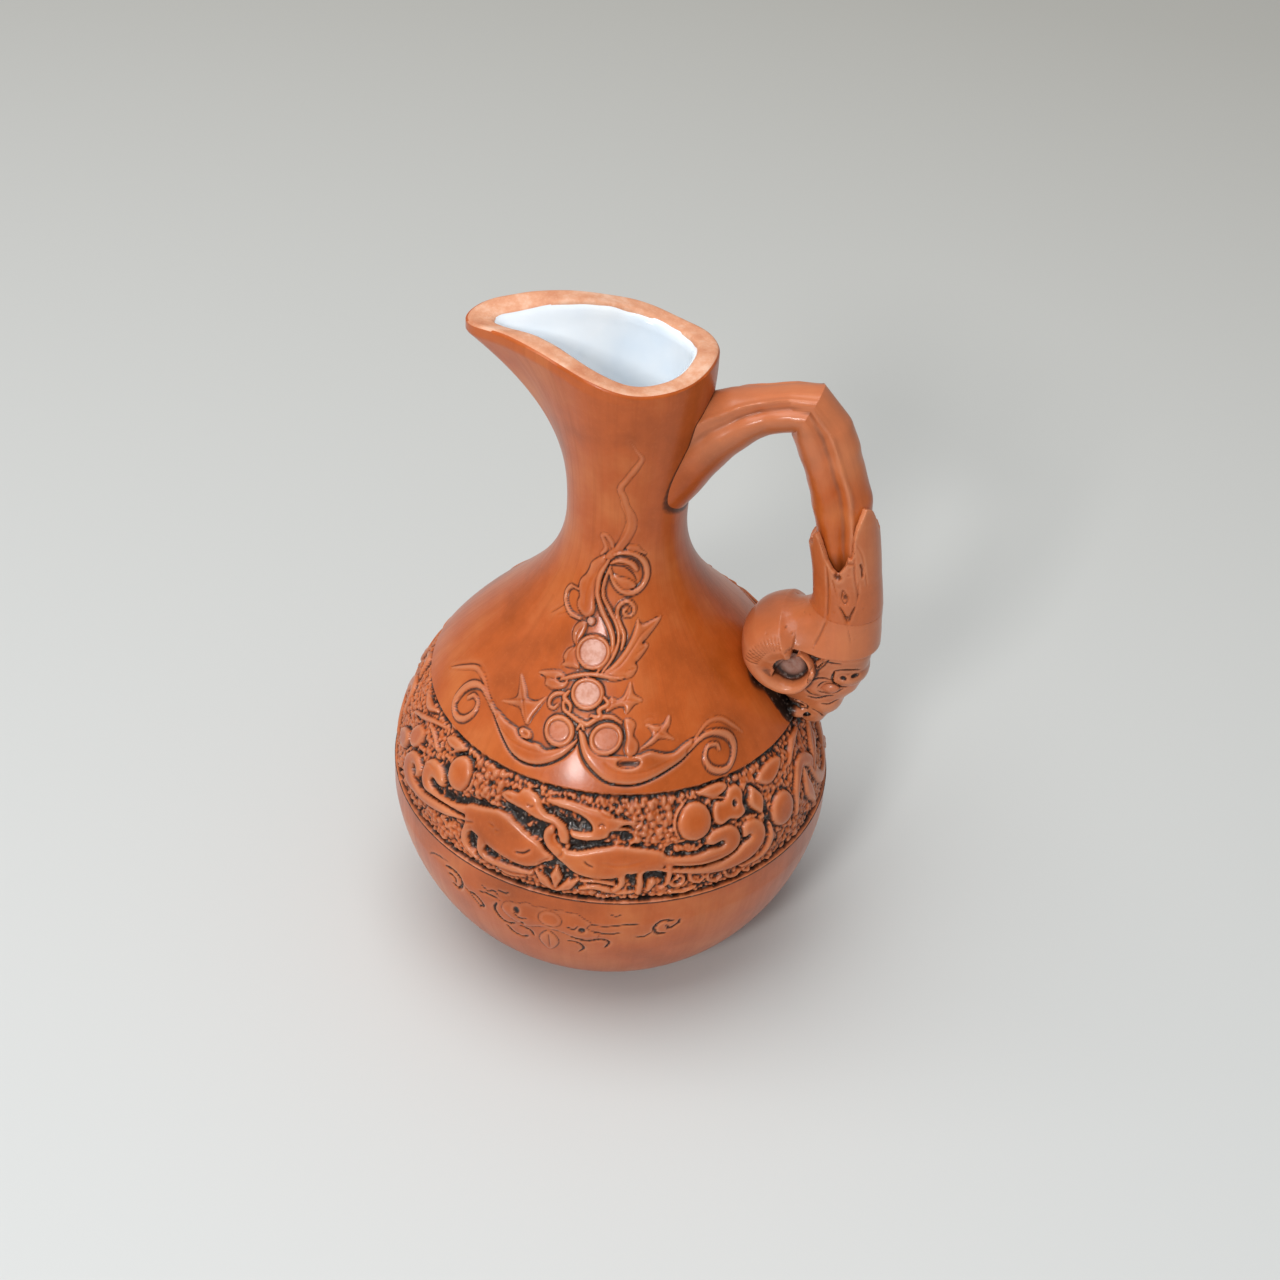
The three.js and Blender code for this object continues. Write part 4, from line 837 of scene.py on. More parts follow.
    def carve_stems(self) -> None:
        """Carves the tendril on the neck, the stems and the curls."""
        self.ribbon([(5, 193.5), (6.8, 190), (8.2, 187.5), (7, 184.5), (4.2, 179.5), (2.2, 175.5), (3.2, 172),
                     (3.7, 169.2), (5.2, 165.7), (5.6, 162.1), (4.3, 157.6), (2.3, 153.5), (-0.4, 150.2)],
                    [0.3, 0.7, 1.5, 1.9, 1.7, 1.8, 2.1, 2.4, 3.1, 3.3, 3.0, 2.6, 2.2], TENDRIL)
        self.cut([(2.1, 173.6), (3.3, 169), (4.2, 165.2), (4.4, 161.8), (3.2, 157.8), (1, 153.6)], 0.5, 0.35)
        self.ribbon([(-2.7, 150.6), (-1.4, 152.9), (-2.2, 155.2), (-2.8, 157), (-1.6, 157.4), (-0.1, 155.8),
                     (0.6, 153.8)], [0.8, 1.2, 1.0, 1.2, 1.4, 1.4, 1.0], TENDRIL)
        self.shape([(5.3, 155.1), (8, 154.9), (9.1, 153.4), (11, 151.6), (8.4, 152.2), (6, 152.8), (4.4, 153.6)],
                   TENDRIL)
        self.ribbon([(1.4, 151.6), (4, 152.4), (7.4, 151.9), (10.4, 149), (11.6, 145.1), (10.6, 142), (8.4, 140.4),
                     (5.6, 140.4), (3.2, 141.7), (1.4, 144), (0.5, 146.6)],
                    [1.0, 1.4, 1.6, 1.8, 1.9, 1.9, 1.9, 1.8, 1.6, 1.2, 0.7], STEM)
        self.shape([(0, 147.8), (2.7, 149), (5.7, 148.4), (8.1, 146.3), (8.7, 147.3), (7.2, 149.6), (4.2, 150.6),
                    (1.6, 149.8)], STEM)
        self.cut([(0.6, 147.9), (4.4, 147.8), (7.4, 145.6), (8.8, 143.4)], 0.6, 0.5)
        self.shape([(1.4, 145.1), (2.8, 142.9), (5.5, 141), (8, 141.4), (8.7, 142.3), (6.6, 144), (4, 144.6)],
                   SPRAY_LEAF)
        self.ribbon([(7.9, 126), (7.7, 129.2), (5.8, 131.9), (4.5, 134.7), (4.9, 136.8), (6.9, 137.8), (9, 136.6),
                     (9.4, 135), (8.3, 134), (7, 134.3), (6.2, 135.3), (7, 135.9)],
                    [0.9, 1.5, 1.5, 1.4, 1.2, 1.2, 1.2, 1.1, 1.0, 0.9, 0.7], STEM)
        self.ribbon([(-0.2, 149.2), (-2.1, 144.6), (-2.4, 141), (-1.9, 138.1), (0.2, 134.5), (2.9, 131.3),
                     (4.7, 128.4), (5.2, 125.5), (4.2, 122.8), (2.4, 120.5)],
                    [0.9, 1.5, 1.6, 1.7, 1.7, 1.7, 1.7, 1.6, 1.4, 1.0], STEM)
        self.ribbon([(0.4, 147.1), (-0.7, 142), (-0.3, 138.4), (2.2, 135.2), (4.7, 132.2), (6.2, 129.4), (6.5, 126.4),
                     (5.5, 123.2), (3.5, 120.2)],
                    [0.7, 1.1, 1.2, 1.3, 1.3, 1.2, 1.2, 1.0, 0.7], STEM)
        self.ribbon([(-8.1, 116.9), (-4.4, 118.4), (-0.5, 119.5), (3.5, 119.9), (7.7, 119.5), (10.3, 119.8)],
                    [0.7, 1.4, 1.6, 1.5, 1.3, 0.7], STEM)
        self.ribbon([(-4.8, 114.5), (-8.1, 113.9), (-9.8, 112.5), (-9.7, 111), (-8.2, 110.7), (-7.2, 111.6)],
                    [1.0, 1.4, 1.4, 1.2, 1.1, 0.8], STEM)
        self.ribbon([(-5.6, 112.6), (-4.9, 111.2), (-3.4, 110.6), (0.8, 109.4), (3, 109.2), (5.6, 110.8),
                     (9, 111.4), (12.6, 110.2)], [1.0, 1.3, 1.4, 1.6, 1.6, 1.6, 1.3, 0.8], STEM)
        self.ribbon([(0.2, 107.7), (1.1, 108.9), (2.2, 107.9)], [0.8, 1.1, 0.8], STEM)

    def carve_discs(self) -> None:
        """Carves the ringed discs, the plain roundels and the small round boss, with a painted pale reflection on the
        faces of the discs and the boss.
        """
        board = self.board
        for x, height, rx, rz, ring, ring_z in ((-0.1, 124.5, 4.0, 3.15, 1.25, 0.85),
                                                (0.9, 115.5, 3.8, 2.6, 1.2, 0.9),
                                                (-4.9, 106.4, 3.2, 2.35, 1.5, 1.2), (9.2, 106.5, 3.6, 2.6, 1.3, 1.1)):
            y = up(height)
            ry = (up(height + rz) - up(height - rz)) / 2
            board.shape(board.oval(x, y, rx + ring, ry + ring_z * ry / rz), RING)
            board.shape(board.oval(x, y, rx, ry), DISC)
            rows, cols, inward = board.from_outline(smooth_line(board.oval(x, y, rx, ry), closed=True), 0.5)
            # Painted pale reflection on each disc's flat face, strongest on the two upper discs
            share = 1.0 if height > 110 else 0.35
            board.pale[rows, cols] = np.maximum(board.pale[rows, cols], share * ease(inward / 0.6))
        # Wavy leaves round the lower disc
        for points in ([(-4.6, 115.2), (-5.6, 113.6), (-3.4, 112.4), (-3, 111.2)],
                       [(5.8, 115.4), (7.6, 114), (5.4, 112.6), (6, 111.2), (3.4, 111)]):
            self.ribbon(points, [0.8, 1.6, 1.5, 0.8], STEM)
        board.shape(board.oval(-2.6, up(131.5), 1.3, 1.2), RING)
        # Painted pale reflection on the small boss
        rows, cols, xx, yy = board.window(np.array([[-3.6, up(130.6)], [-1.6, up(132.4)]]), 0.2)
        round_ = np.hypot((xx + 2.6) / 1.1, (yy - up(131.5)) / 1.0)
        board.pale[rows, cols] = np.maximum(board.pale[rows, cols], 0.7 * (round_ < 1))


@dataclass
class VignetteCarving:
    """Small group cut in strokes under the frieze: a scalloped leaf group with a ring and side curls."""

    board: Board = field(init=False)

    def carve(self) -> Board:
        """Carves the group and returns its board."""
        self.board = Board(-80.0, 80.0, 14.0, 62.0, pitch=0.2, deepest=-0.6)
        board = self.board
        low = Relief(top=0.35, edge=0.0, bevel=2.0, moat=0.4, trench=0.36)
        board.shape([(-15, 50.6), (-13.8, 52.2), (-12, 52.9), (-9.6, 53.4), (-7, 54.8), (-4.6, 54.2), (-2, 54.7),
                     (1, 54.4), (4, 55.2), (6.4, 54.6), (8.4, 54.9), (11, 53), (13.2, 51.2), (12, 48.6), (15.6, 46),
                     (14.4, 43.8), (9, 43), (4, 45), (-2, 45.6), (-7, 43.6), (-12, 44.6), (-15.4, 47.6)], low)
        board.shape(board.oval(0.5, 50.4, 3.7, 3.4), Relief(0.5, 0.05, 1.2, 0.4, 0.45))
        board.pit(0.5, 50.4, 2.4, 2.0, 0.25)
        for points, width, depth in (
            ([(-46.6, 50.6), (-45, 52.6), (-41, 54.2), (-37, 54.8)], 0.6, 0.3),
            ([(-38, 52.4), (-34.6, 52.9), (-31.8, 51.4), (-31.4, 48.2), (-33, 45.6), (-35.4, 46.6)], 1.2, 0.6),
            ([(-36.8, 50.2), (-34.4, 49.8), (-33.8, 47.6)], 1.0, 0.5),
            ([(-31, 49.6), (-27.4, 46.6), (-25, 44.2), (-24, 42)], 0.6, 0.35),
            ([(-28.6, 47.4), (-26.4, 47.8), (-24.4, 46.6), (-23, 44.2), (-24.6, 43)], 1.0, 0.5),
            ([(-24, 51), (-20, 51.9), (-15.6, 51.3)], 0.6, 0.35),
            ([(-23, 54.4), (-20.6, 53.2), (-18.4, 54.4), (-16.4, 53)], 0.6, 0.35),
            ([(-17.4, 49.6), (-18.6, 45.8), (-16.6, 42), (-13.8, 41), (-11.4, 42.6)], 1.0, 0.5),
            ([(-14.8, 39.6), (-12.8, 36.6), (-9.4, 35.6), (-7.4, 37.4)], 1.0, 0.5),
            ([(-9.8, 42.2), (-6.4, 41.4), (-5.2, 38.6)], 0.8, 0.4),
            ([(13.4, 50.6), (18, 50.2), (23, 51), (28, 51.4)], 0.6, 0.35),
            ([(14, 47.4), (18.6, 46.2), (22.4, 47.2)], 0.7, 0.35),
            ([(7, 43), (12, 41.6), (16.6, 43.2), (19.2, 41.6), (18, 38.2)], 0.9, 0.45),
            ([(6, 40.4), (9.6, 39.8), (11.2, 36.8), (9.6, 34)], 0.8, 0.4),
            ([(27, 45), (30, 44.6), (32.2, 46.6)], 0.7, 0.35),
            ([(38.6, 51.2), (35, 51.6), (32.8, 48.8), (34, 45.6), (37, 45.4)], 1.0, 0.5),
            ([(36.6, 49.6), (37.6, 47.6), (40.2, 49.2), (41, 51.6)], 0.9, 0.45),
            ([(-13, 56.6), (-14.6, 55.4), (-17, 55.6)], 0.6, 0.35),
            ([(18.6, 56), (20.6, 55), (22.4, 55.8)], 0.5, 0.3),
            ([(-11.6, 48.4), (-9.6, 47), (-7, 47.6)], 0.6, 0.35),
            ([(5.6, 48.6), (8, 47.6), (9.4, 49.6)], 0.6, 0.35),
        ):
            board.cut(points, width * 1.15, depth * 1.7)
        # A plain leaf stands where the group ends below
        board.shape([(0, 44.2), (2.8, 40.6), (2.6, 36.8), (-0.2, 32.8), (-3, 36.8), (-2.8, 40.6)],
                    Relief(0.4, 0.0, 1.4, 0.4, 0.4))
        board.cut([(-0.1, 43), (-0.1, 38.4), (-0.2, 34)], 0.6, 0.4)
        for x, height, rx, ry in ((-10.5, 50, 1.2, 1.8), (10.5, 47.5, 1.3, 1.4), (-8.8, 44.4, 0.8, 0.7)):
            board.pit(x, height, rx, ry, 0.8)
        self.board.finish(soften=0.18, wrap=False, stain_and_shade=1.25)
        return self.board


# Mesh helpers


def deselect() -> None:
    """Leaves edit mode and clears the selection."""
    if bpy.context.mode != "OBJECT":
        bpy.ops.object.mode_set(mode="OBJECT")
    bpy.ops.object.select_all(action="DESELECT")


def placed(name: str, coords: Array, body: bpy.types.Object, sharp: float = 40.0) -> bpy.types.Object:
    """Puts a new object's vertices in their places and finishes it.

    Args:
        name: name of the piece.
        coords: places of the vertices in millimetres.
        body: the object that a primitive operator made.
        sharp: angle in degrees past which an edge shows as an edge.

    Returns:
        The finished object, at the origin, with its faces outwards.
    """
    body.name = name
    body.data.name = name
    body.matrix_world = Matrix.Identity(4)
    body.data.vertices.foreach_set("co", (coords * METRE).astype(np.float32).ravel())
    body.data.update()
    bpy.ops.object.mode_set(mode="EDIT")
    bpy.ops.mesh.select_all(action="SELECT")
    bpy.ops.mesh.normals_make_consistent(inside=False)
    bpy.ops.object.mode_set(mode="OBJECT")
    bpy.ops.object.shade_smooth_by_angle(angle=math.radians(sharp))
    return body


def sheet_start(steps: int, rows: int, ends: float) -> tuple[bpy.types.Object, Array, Array]:
    """Sheet rolled round and sewn up, to be put in place vertex by vertex.

    Args:
        steps: faces round the jug.
        rows: faces across.
        ends: 1 for a ring, whose last row meets its first, 0 for a ball, whose end rows are drawn to a point.

    Returns:
        The object, the step of each vertex and its row.
    """
    deselect()
    bpy.ops.mesh.primitive_grid_add(x_subdivisions=steps, y_subdivisions=rows, size=2)
    body = bpy.context.object
    mesh = body.data
    co = places(body)
    step = np.round((co[:, 0] + 1) / 2 * steps).astype(int)
    row = np.round((co[:, 1] + 1) / 2 * rows).astype(int)
    border = (step == 0) | (step == steps) | (row == 0) | (row == rows)
    turn = 2 * np.pi * (step % steps) / steps
    if ends:
        reach, rise = 3 + np.cos(2 * np.pi * (row % rows) / rows), np.sin(2 * np.pi * (row % rows) / rows)
    else:
        reach, rise = np.where((row == 0) | (row == rows), 0.0, 1.0), row.astype(float)
    place = np.stack([reach * np.cos(turn), reach * np.sin(turn), rise], -1)
    mesh.vertices.foreach_set("co", place.astype(np.float32).ravel())
    bpy.ops.object.mode_set(mode="EDIT")
    bpy.ops.mesh.select_mode(type="VERT")
    bpy.ops.mesh.select_all(action="DESELECT")
    bpy.ops.object.mode_set(mode="OBJECT")
    mesh.vertices.foreach_set("select", border)
    bpy.ops.object.mode_set(mode="EDIT")
    bpy.ops.mesh.remove_doubles(threshold=1e-5)
    bpy.ops.object.mode_set(mode="OBJECT")
    x, y, z = places(body).T
    step = np.round(np.arctan2(y, x) / (2 * np.pi / steps)).astype(int) % steps
    if not ends:
        return body, step, np.round(z).astype(int)
    return body, step, np.round(np.arctan2(z, np.hypot(x, y) - 3) / (2 * np.pi / rows)).astype(int) % rows


def ring_start(steps: int, loop: int) -> tuple[bpy.types.Object, Array, Array]:
    """Ring with its sections round the jug, and the points of one section."""
    return sheet_start(steps, loop, 1)


def ball_start(segments: int, rings: int) -> tuple[bpy.types.Object, Array, Array]:
    """Ball with its segments round the jug, and its steps from top to bottom."""
    return sheet_start(segments, rings, 0)


def keep(body: bpy.types.Object, name: str, values: Array) -> None:
    """Stores one number for each vertex."""
    layer = body.data.attributes.new(name, "FLOAT", "POINT")
    layer.data.foreach_set("value", np.clip(values, 0, 1).astype(np.float32))


def keep_wrap(body: bpy.types.Object, angle: Array, radius: float, height: Array) -> None:
    """Stores each vertex's place on an even tube, for strokes that run up the wall."""
    layer = body.data.attributes.new("wall", "FLOAT_VECTOR", "POINT")
    place = np.stack([np.cos(angle) * radius, np.sin(angle) * radius, height], -1) * METRE
    layer.data.foreach_set("vector", place.astype(np.float32).ravel())


def grid_normals(grid: Array, closed_rows: bool) -> Array:
    """Unit normals of a grid of points, whose first index runs round the jug."""
    around = np.roll(grid, -1, 0) - np.roll(grid, 1, 0)
    if closed_rows:
        along = np.roll(grid, -1, 1) - np.roll(grid, 1, 1)
    else:
        along = np.gradient(grid, axis=1)
    normal = np.cross(around, along)
    return normal / np.maximum(np.linalg.norm(normal, axis=2, keepdims=True), 1e-9)


def places(body: bpy.types.Object) -> Array:
    """Places of an object's vertices, in its mesh's own units."""
    co = np.empty(len(body.data.vertices) * 3, np.float32)
    body.data.vertices.foreach_get("co", co)
    return co.reshape(-1, 3).astype(float)


HEM = 0.02  # height of the last row of faces at a joint, in millimetres


def edged(rows: Array) -> Array:
    """Rows with one more just inside each end, so that two pieces that meet there shade as one skin."""
    return np.sort(np.concatenate([rows, [rows[0] + HEM, rows[-1] - HEM]]))


def closer(turn: Array, share: float) -> Array:
    """Angles with the steps drawn closer at the front and the back, where the ornament is."""
    return turn + share * np.sin(2 * turn)


def half_turn(angle: Array) -> Array:
    """Angle from the middle of the nearer ornament, front or back."""
    return (angle + np.pi) % np.pi - np.pi / 2


# Finishes


def hue(code: str) -> tuple[float, float, float, float]:
    """Linear colour of an sRGB hex value."""
    parts = [int(code[k:k + 2], 16) / 255 for k in (1, 3, 5)]
    linear = [c / 12.92 if c <= 0.04045 else ((c + 0.055) / 1.055) ** 2.4 for c in parts]
    return (*linear, 1.0)


def add_node(tree: bpy.types.NodeTree, kind: str, settings: dict | None = None,
             inputs: dict | None = None) -> bpy.types.Node:
    """Adds a node with its settings, values and links.

    Args:
        tree: the material's node tree.
        kind: the node's type.
        settings: attributes to set on it.
        inputs: for each input, by name or place, a value or the socket that feeds it.

    Returns:
        The new node.
    """
    made = tree.nodes.new(kind)
    for key, value in (settings or {}).items():
        setattr(made, key, value)
    for key, value in (inputs or {}).items():
        socket = made.inputs[key]
        if isinstance(value, bpy.types.NodeSocket):
            tree.links.new(value, socket)
        else:
            socket.default_value = value
    return made


def ramp(tree: bpy.types.NodeTree, source: bpy.types.NodeSocket,
         stops: Sequence[tuple[float, tuple[float, ...]]]) -> bpy.types.NodeSocket:
    """Colours a value by stops of place and colour, and returns the colour socket."""
    made = add_node(tree, "ShaderNodeValToRGB", inputs={0: source})
    bar = made.color_ramp.elements
    while len(bar) < len(stops):
        bar.new(0.5)
    for element, (place, colour) in zip(bar, stops):
        element.position = place
        element.color = colour
    return made.outputs["Color"]


GREY = (0.0, 0.0, 0.0, 1.0)
WHITE = (1.0, 1.0, 1.0, 1.0)


def blank_material(name: str) -> tuple[bpy.types.Material, bpy.types.NodeTree]:
    """New material with an empty node tree."""
    material = bpy.data.materials.new(name)
    material.use_nodes = True
    material.node_tree.nodes.clear()
    return material, material.node_tree


def mix_colour(tree: bpy.types.NodeTree, share: bpy.types.NodeSocket | float, a: object, b: object,
               how: str = "MIX") -> bpy.types.NodeSocket:
    """Mixes two colours and returns the result's socket."""
    made = add_node(tree, "ShaderNodeMix", {"data_type": "RGBA", "blend_type": how},
                    {"Factor": share, 6: a, 7: b})
    return made.outputs[2]


def calc(tree: bpy.types.NodeTree, how: str, a: object, b: object = 0.0) -> bpy.types.NodeSocket:
    """Combines two numbers and returns the result's socket."""
    return add_node(tree, "ShaderNodeMath", {"operation": how, "use_clamp": how in ("MULTIPLY", "ADD")},
                    {0: a, 1: b}).outputs[0]


@dataclass(frozen=True)
class BurnishedClay:
    """Terracotta coated with slip, brushed up the wall and burnished; its recesses darkened with painted shade and
    staining, painted glints in the darkest of them, and a painted pale pink reflection on flat faces.
    """

    name: str = "burnished_terracotta"
    warm: str = "#b9571e"
    deep: str = "#9c460f"
    light: str = "#c66c34"
    edge: str = "#e0a07a"
    # Brown and near black of the recesses: painted shade with staining
    brown: str = "#5e2c12"
    stain_and_shade: str = "#190d07"
    dust_and_glint: str = "#6e6058"
    # Pale pink of a painted reflection on flat faces
    reflection_pink: str = "#dcb0a0"
    roughness: float = 0.34
    mottle: float = 26.0
    brush_width: float = 1.6
    glint: float = 0.9

    def make(self) -> bpy.types.Material:
        """Builds the material and returns it."""
        material, tree = blank_material(self.name)
        wall = add_node(tree, "ShaderNodeAttribute", {"attribute_name": "wall"}).outputs["Vector"]
        place = add_node(tree, "ShaderNodeTexCoord").outputs["Object"]
        # Mottling of the slip, patches of about 26 mm
        mottle = add_node(tree, "ShaderNodeTexNoise", inputs={
            "Vector": place, "Scale": 1000 / self.mottle, "Detail": 4.0, "Roughness": 0.6}).outputs[0]
        # Brush strokes, 1.6 mm wide and drawn up the wall
        drawn = add_node(tree, "ShaderNodeMapping", inputs={"Vector": wall, "Scale": (1.0, 1.0, 0.07)}).outputs[0]
        strokes = add_node(tree, "ShaderNodeTexNoise", inputs={
            "Vector": drawn, "Scale": 1000 / self.brush_width / 2, "Detail": 5.0, "Roughness": 0.65}).outputs[0]
        # Grain of the clay, 0.5 mm
        grain = add_node(tree, "ShaderNodeTexNoise", inputs={
            "Vector": place, "Scale": 1000 / 0.5 / 2, "Detail": 3.0, "Roughness": 0.6}).outputs[0]
        # Specks in the darkest recesses, 0.9 mm: painted glints of light, mixed with grey grit
        specks = add_node(tree, "ShaderNodeTexNoise", inputs={
            "Vector": place, "Scale": 1000 / self.glint / 1.6, "Detail": 2.0, "Roughness": 0.5}).outputs[0]
        patches = ramp(tree, mottle, [(0.3, hue(self.deep)), (0.5, hue(self.warm)), (0.72, hue(self.light))])
        streaked = mix_colour(tree, calc(tree, "MULTIPLY", ramp(tree, strokes, [(0.45, GREY), (0.7, WHITE)]), 0.3),
                              patches, hue(self.deep))
        speckled = mix_colour(tree, calc(tree, "MULTIPLY", ramp(tree, grain, [(0.56, GREY), (0.7, WHITE)]), 0.2),
                              streaked, hue(self.light))
        worn_and_lit = add_node(tree, "ShaderNodeAttribute", {"attribute_name": "worn_and_lit"}).outputs["Fac"]
        edged = mix_colour(tree, calc(tree, "MULTIPLY", worn_and_lit, 0.34), speckled, hue(self.edge))
        # Recesses: painted shade with staining, brown first, near black where deepest
        recess = add_node(tree, "ShaderNodeAttribute", {"attribute_name": "recess"}).outputs["Fac"]
        broken = calc(tree, "MULTIPLY", recess, calc(tree, "ADD", grain, 0.6))
        browned = mix_colour(tree, ramp(tree, broken, [(0.14, GREY), (0.56, WHITE)]), edged, hue(self.brown))
        # Painted glints over the near black of the deepest recesses
        darkest_with_glints = mix_colour(tree, ramp(tree, specks, [(0.56, GREY), (0.66, WHITE)]), hue(self.stain_and_shade), hue(self.dust_and_glint))
        recess_darkened = mix_colour(tree, ramp(tree, broken, [(0.58, GREY), (0.95, WHITE)]), browned, darkest_with_glints)
        # Painted pale pink reflection where the pale share is: on the discs and faintly on the eyes; also paler
        # toward the middle of the horn's hole
        pale = add_node(tree, "ShaderNodeAttribute", {"attribute_name": "pale"}).outputs["Fac"]
        clouded = mix_colour(tree, ramp(tree, specks, [(0.4, GREY), (0.7, WHITE)]), hue(self.reflection_pink), hue("#c48a74"))
        coloured = mix_colour(tree, calc(tree, "MULTIPLY", pale, 0.7), recess_darkened, clouded)
        dull = calc(tree, "ADD", calc(tree, "MULTIPLY", ramp(tree, broken, [(0.1, GREY), (0.5, WHITE)]), 0.12),
                    calc(tree, "ADD", calc(tree, "MULTIPLY", strokes, 0.18), self.roughness - 0.09))
        relief = calc(tree, "ADD", calc(tree, "MULTIPLY", strokes, 0.6), calc(tree, "MULTIPLY", grain, 0.3))
        bump = add_node(tree, "ShaderNodeBump", inputs={"Strength": 0.5, "Distance": 0.0002, "Height": relief})
        shader = add_node(tree, "ShaderNodeBsdfPrincipled", inputs={
            "Base Color": coloured, "Roughness": dull, "IOR": 1.46, "Specular IOR Level": 0.36,
            "Normal": bump.outputs[0], "Coat Weight": 0.2, "Coat Roughness": 0.15})
        add_node(tree, "ShaderNodeOutputMaterial", inputs={"Surface": shader.outputs[0]})
        return material


@dataclass(frozen=True)
class BareRim:
    """Rim of the mouth, wiped and left matt, paler and pinker than the wall."""

    name: str = "wiped_terracotta_rim"
    warm: str = "#d99a76"
    light: str = "#e8bda2"
    deep: str = "#c9805a"
    roughness: float = 0.62

    def make(self) -> bpy.types.Material:
        """Builds the material and returns it."""
        material, tree = blank_material(self.name)
        place = add_node(tree, "ShaderNodeTexCoord").outputs["Object"]
        cloud = add_node(tree, "ShaderNodeTexNoise", inputs={
            "Vector": place, "Scale": 1000 / 9.0, "Detail": 5.0, "Roughness": 0.65}).outputs[0]
        grain = add_node(tree, "ShaderNodeTexNoise", inputs={
            "Vector": place, "Scale": 1000 / 0.8, "Detail": 3.0, "Roughness": 0.6}).outputs[0]
        base = ramp(tree, cloud, [(0.32, hue(self.deep)), (0.5, hue(self.warm)), (0.68, hue(self.light))])
        dotted = mix_colour(tree, calc(tree, "MULTIPLY", ramp(tree, grain, [(0.55, GREY), (0.72, WHITE)]), 0.35),
                            base, hue(self.light))
        bump = add_node(tree, "ShaderNodeBump", inputs={"Strength": 0.5, "Distance": 0.0003, "Height": grain})
        shader = add_node(tree, "ShaderNodeBsdfPrincipled", inputs={
            "Base Color": dotted, "Roughness": self.roughness, "IOR": 1.48, "Normal": bump.outputs[0]})
        add_node(tree, "ShaderNodeOutputMaterial", inputs={"Surface": shader.outputs[0]})
        return material


@dataclass(frozen=True)
class WhiteGlaze:
    """Poured white tin glaze: glossy and softly waved, with a faint painted blue reflection in soft clouds. glossy,
    faintly blue where it is thick, softly waved.
    """

    name: str = "white_tin_glaze"
    white: str = "#f0f3f5"
    blue_reflection: str = "#dfe9f2"
    roughness: float = 0.1

    def make(self) -> bpy.types.Material:
        """Builds the material and returns it."""
        material, tree = blank_material(self.name)
        place = add_node(tree, "ShaderNodeTexCoord").outputs["Object"]
        cloud = add_node(tree, "ShaderNodeTexNoise", inputs={
            "Vector": place, "Scale": 1000 / 22.0, "Detail": 3.0, "Roughness": 0.5}).outputs[0]
        wave = add_node(tree, "ShaderNodeTexNoise", inputs={
            "Vector": place, "Scale": 1000 / 6.0, "Detail": 2.0, "Roughness": 0.5}).outputs[0]
        # Painted faint blue reflection in soft clouds over the white
        colour = ramp(tree, cloud, [(0.35, hue(self.white)), (0.7, hue(self.blue_reflection))])
        bump = add_node(tree, "ShaderNodeBump", inputs={"Strength": 0.25, "Distance": 0.0005, "Height": wave})
        shader = add_node(tree, "ShaderNodeBsdfPrincipled", inputs={
            "Base Color": colour, "Roughness": self.roughness, "IOR": 1.52, "Normal": bump.outputs[0],
            "Coat Weight": 0.4, "Coat Roughness": 0.05})
        add_node(tree, "ShaderNodeOutputMaterial", inputs={"Surface": shader.outputs[0]})
        return material


@dataclass(frozen=True)
class PaleCloth:
    """Plain pale floor."""

    name: str = "pale_floor"
    near: str = "#d2d4d3"
    far: str = "#c0beb7"

    def make(self) -> bpy.types.Material:
        """Builds the material and returns it."""
        material, tree = blank_material(self.name)
        place = add_node(tree, "ShaderNodeTexCoord").outputs["Object"]
        split = add_node(tree, "ShaderNodeSeparateXYZ", inputs={0: place}).outputs
        away = add_node(tree, "ShaderNodeMapRange", inputs={
            "Value": split[1], "From Min": -0.3, "From Max": 0.9}).outputs[0]
        colour = mix_colour(tree, away, hue(self.near), hue(self.far))
        shader = add_node(tree, "ShaderNodeBsdfPrincipled", inputs={
            "Base Color": colour, "Roughness": 0.9, "IOR": 1.4, "Specular IOR Level": 0.2})
        add_node(tree, "ShaderNodeOutputMaterial", inputs={"Surface": shader.outputs[0]})
        return material


@dataclass
class Finishes:
    """The materials of the jug, made once."""

    clay: bpy.types.Material = field(init=False)
    rim: bpy.types.Material = field(init=False)
    glaze: bpy.types.Material = field(init=False)

    def __post_init__(self) -> None:
        """Makes the materials."""
        self.clay = BurnishedClay().make()
        self.rim = BareRim().make()
        self.glaze = WhiteGlaze().make()


def settle(piece: bpy.types.Object, material: bpy.types.Material, nodes: Sequence[str]) -> None:
    """Gives a piece its material, its body and the nodes that it stands for."""
    piece.data.materials.clear()
    piece.data.materials.append(material)
    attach(piece, "root")
    if nodes:
        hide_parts(*nodes)
    LOG.info("%s: %d faces", piece.name, len(piece.data.polygons))


def both(*names: str) -> list[str]:
    """Names of ornament nodes on the front and on the back."""
    return [f"{side}_{name}" for side in ("front", "back") for name in names]


# Handle


def bend(a: Sequence[float], b: Sequence[float], c: Sequence[float], share: Array) -> Array:
    """Points along a bent line with three control points."""
    t = np.asarray(share, float)[:, None]
    a, b, c = (np.array(p, float) for p in (a, b, c))
    return (1 - t) ** 2 * a + 2 * t * (1 - t) * b + t ** 2 * c


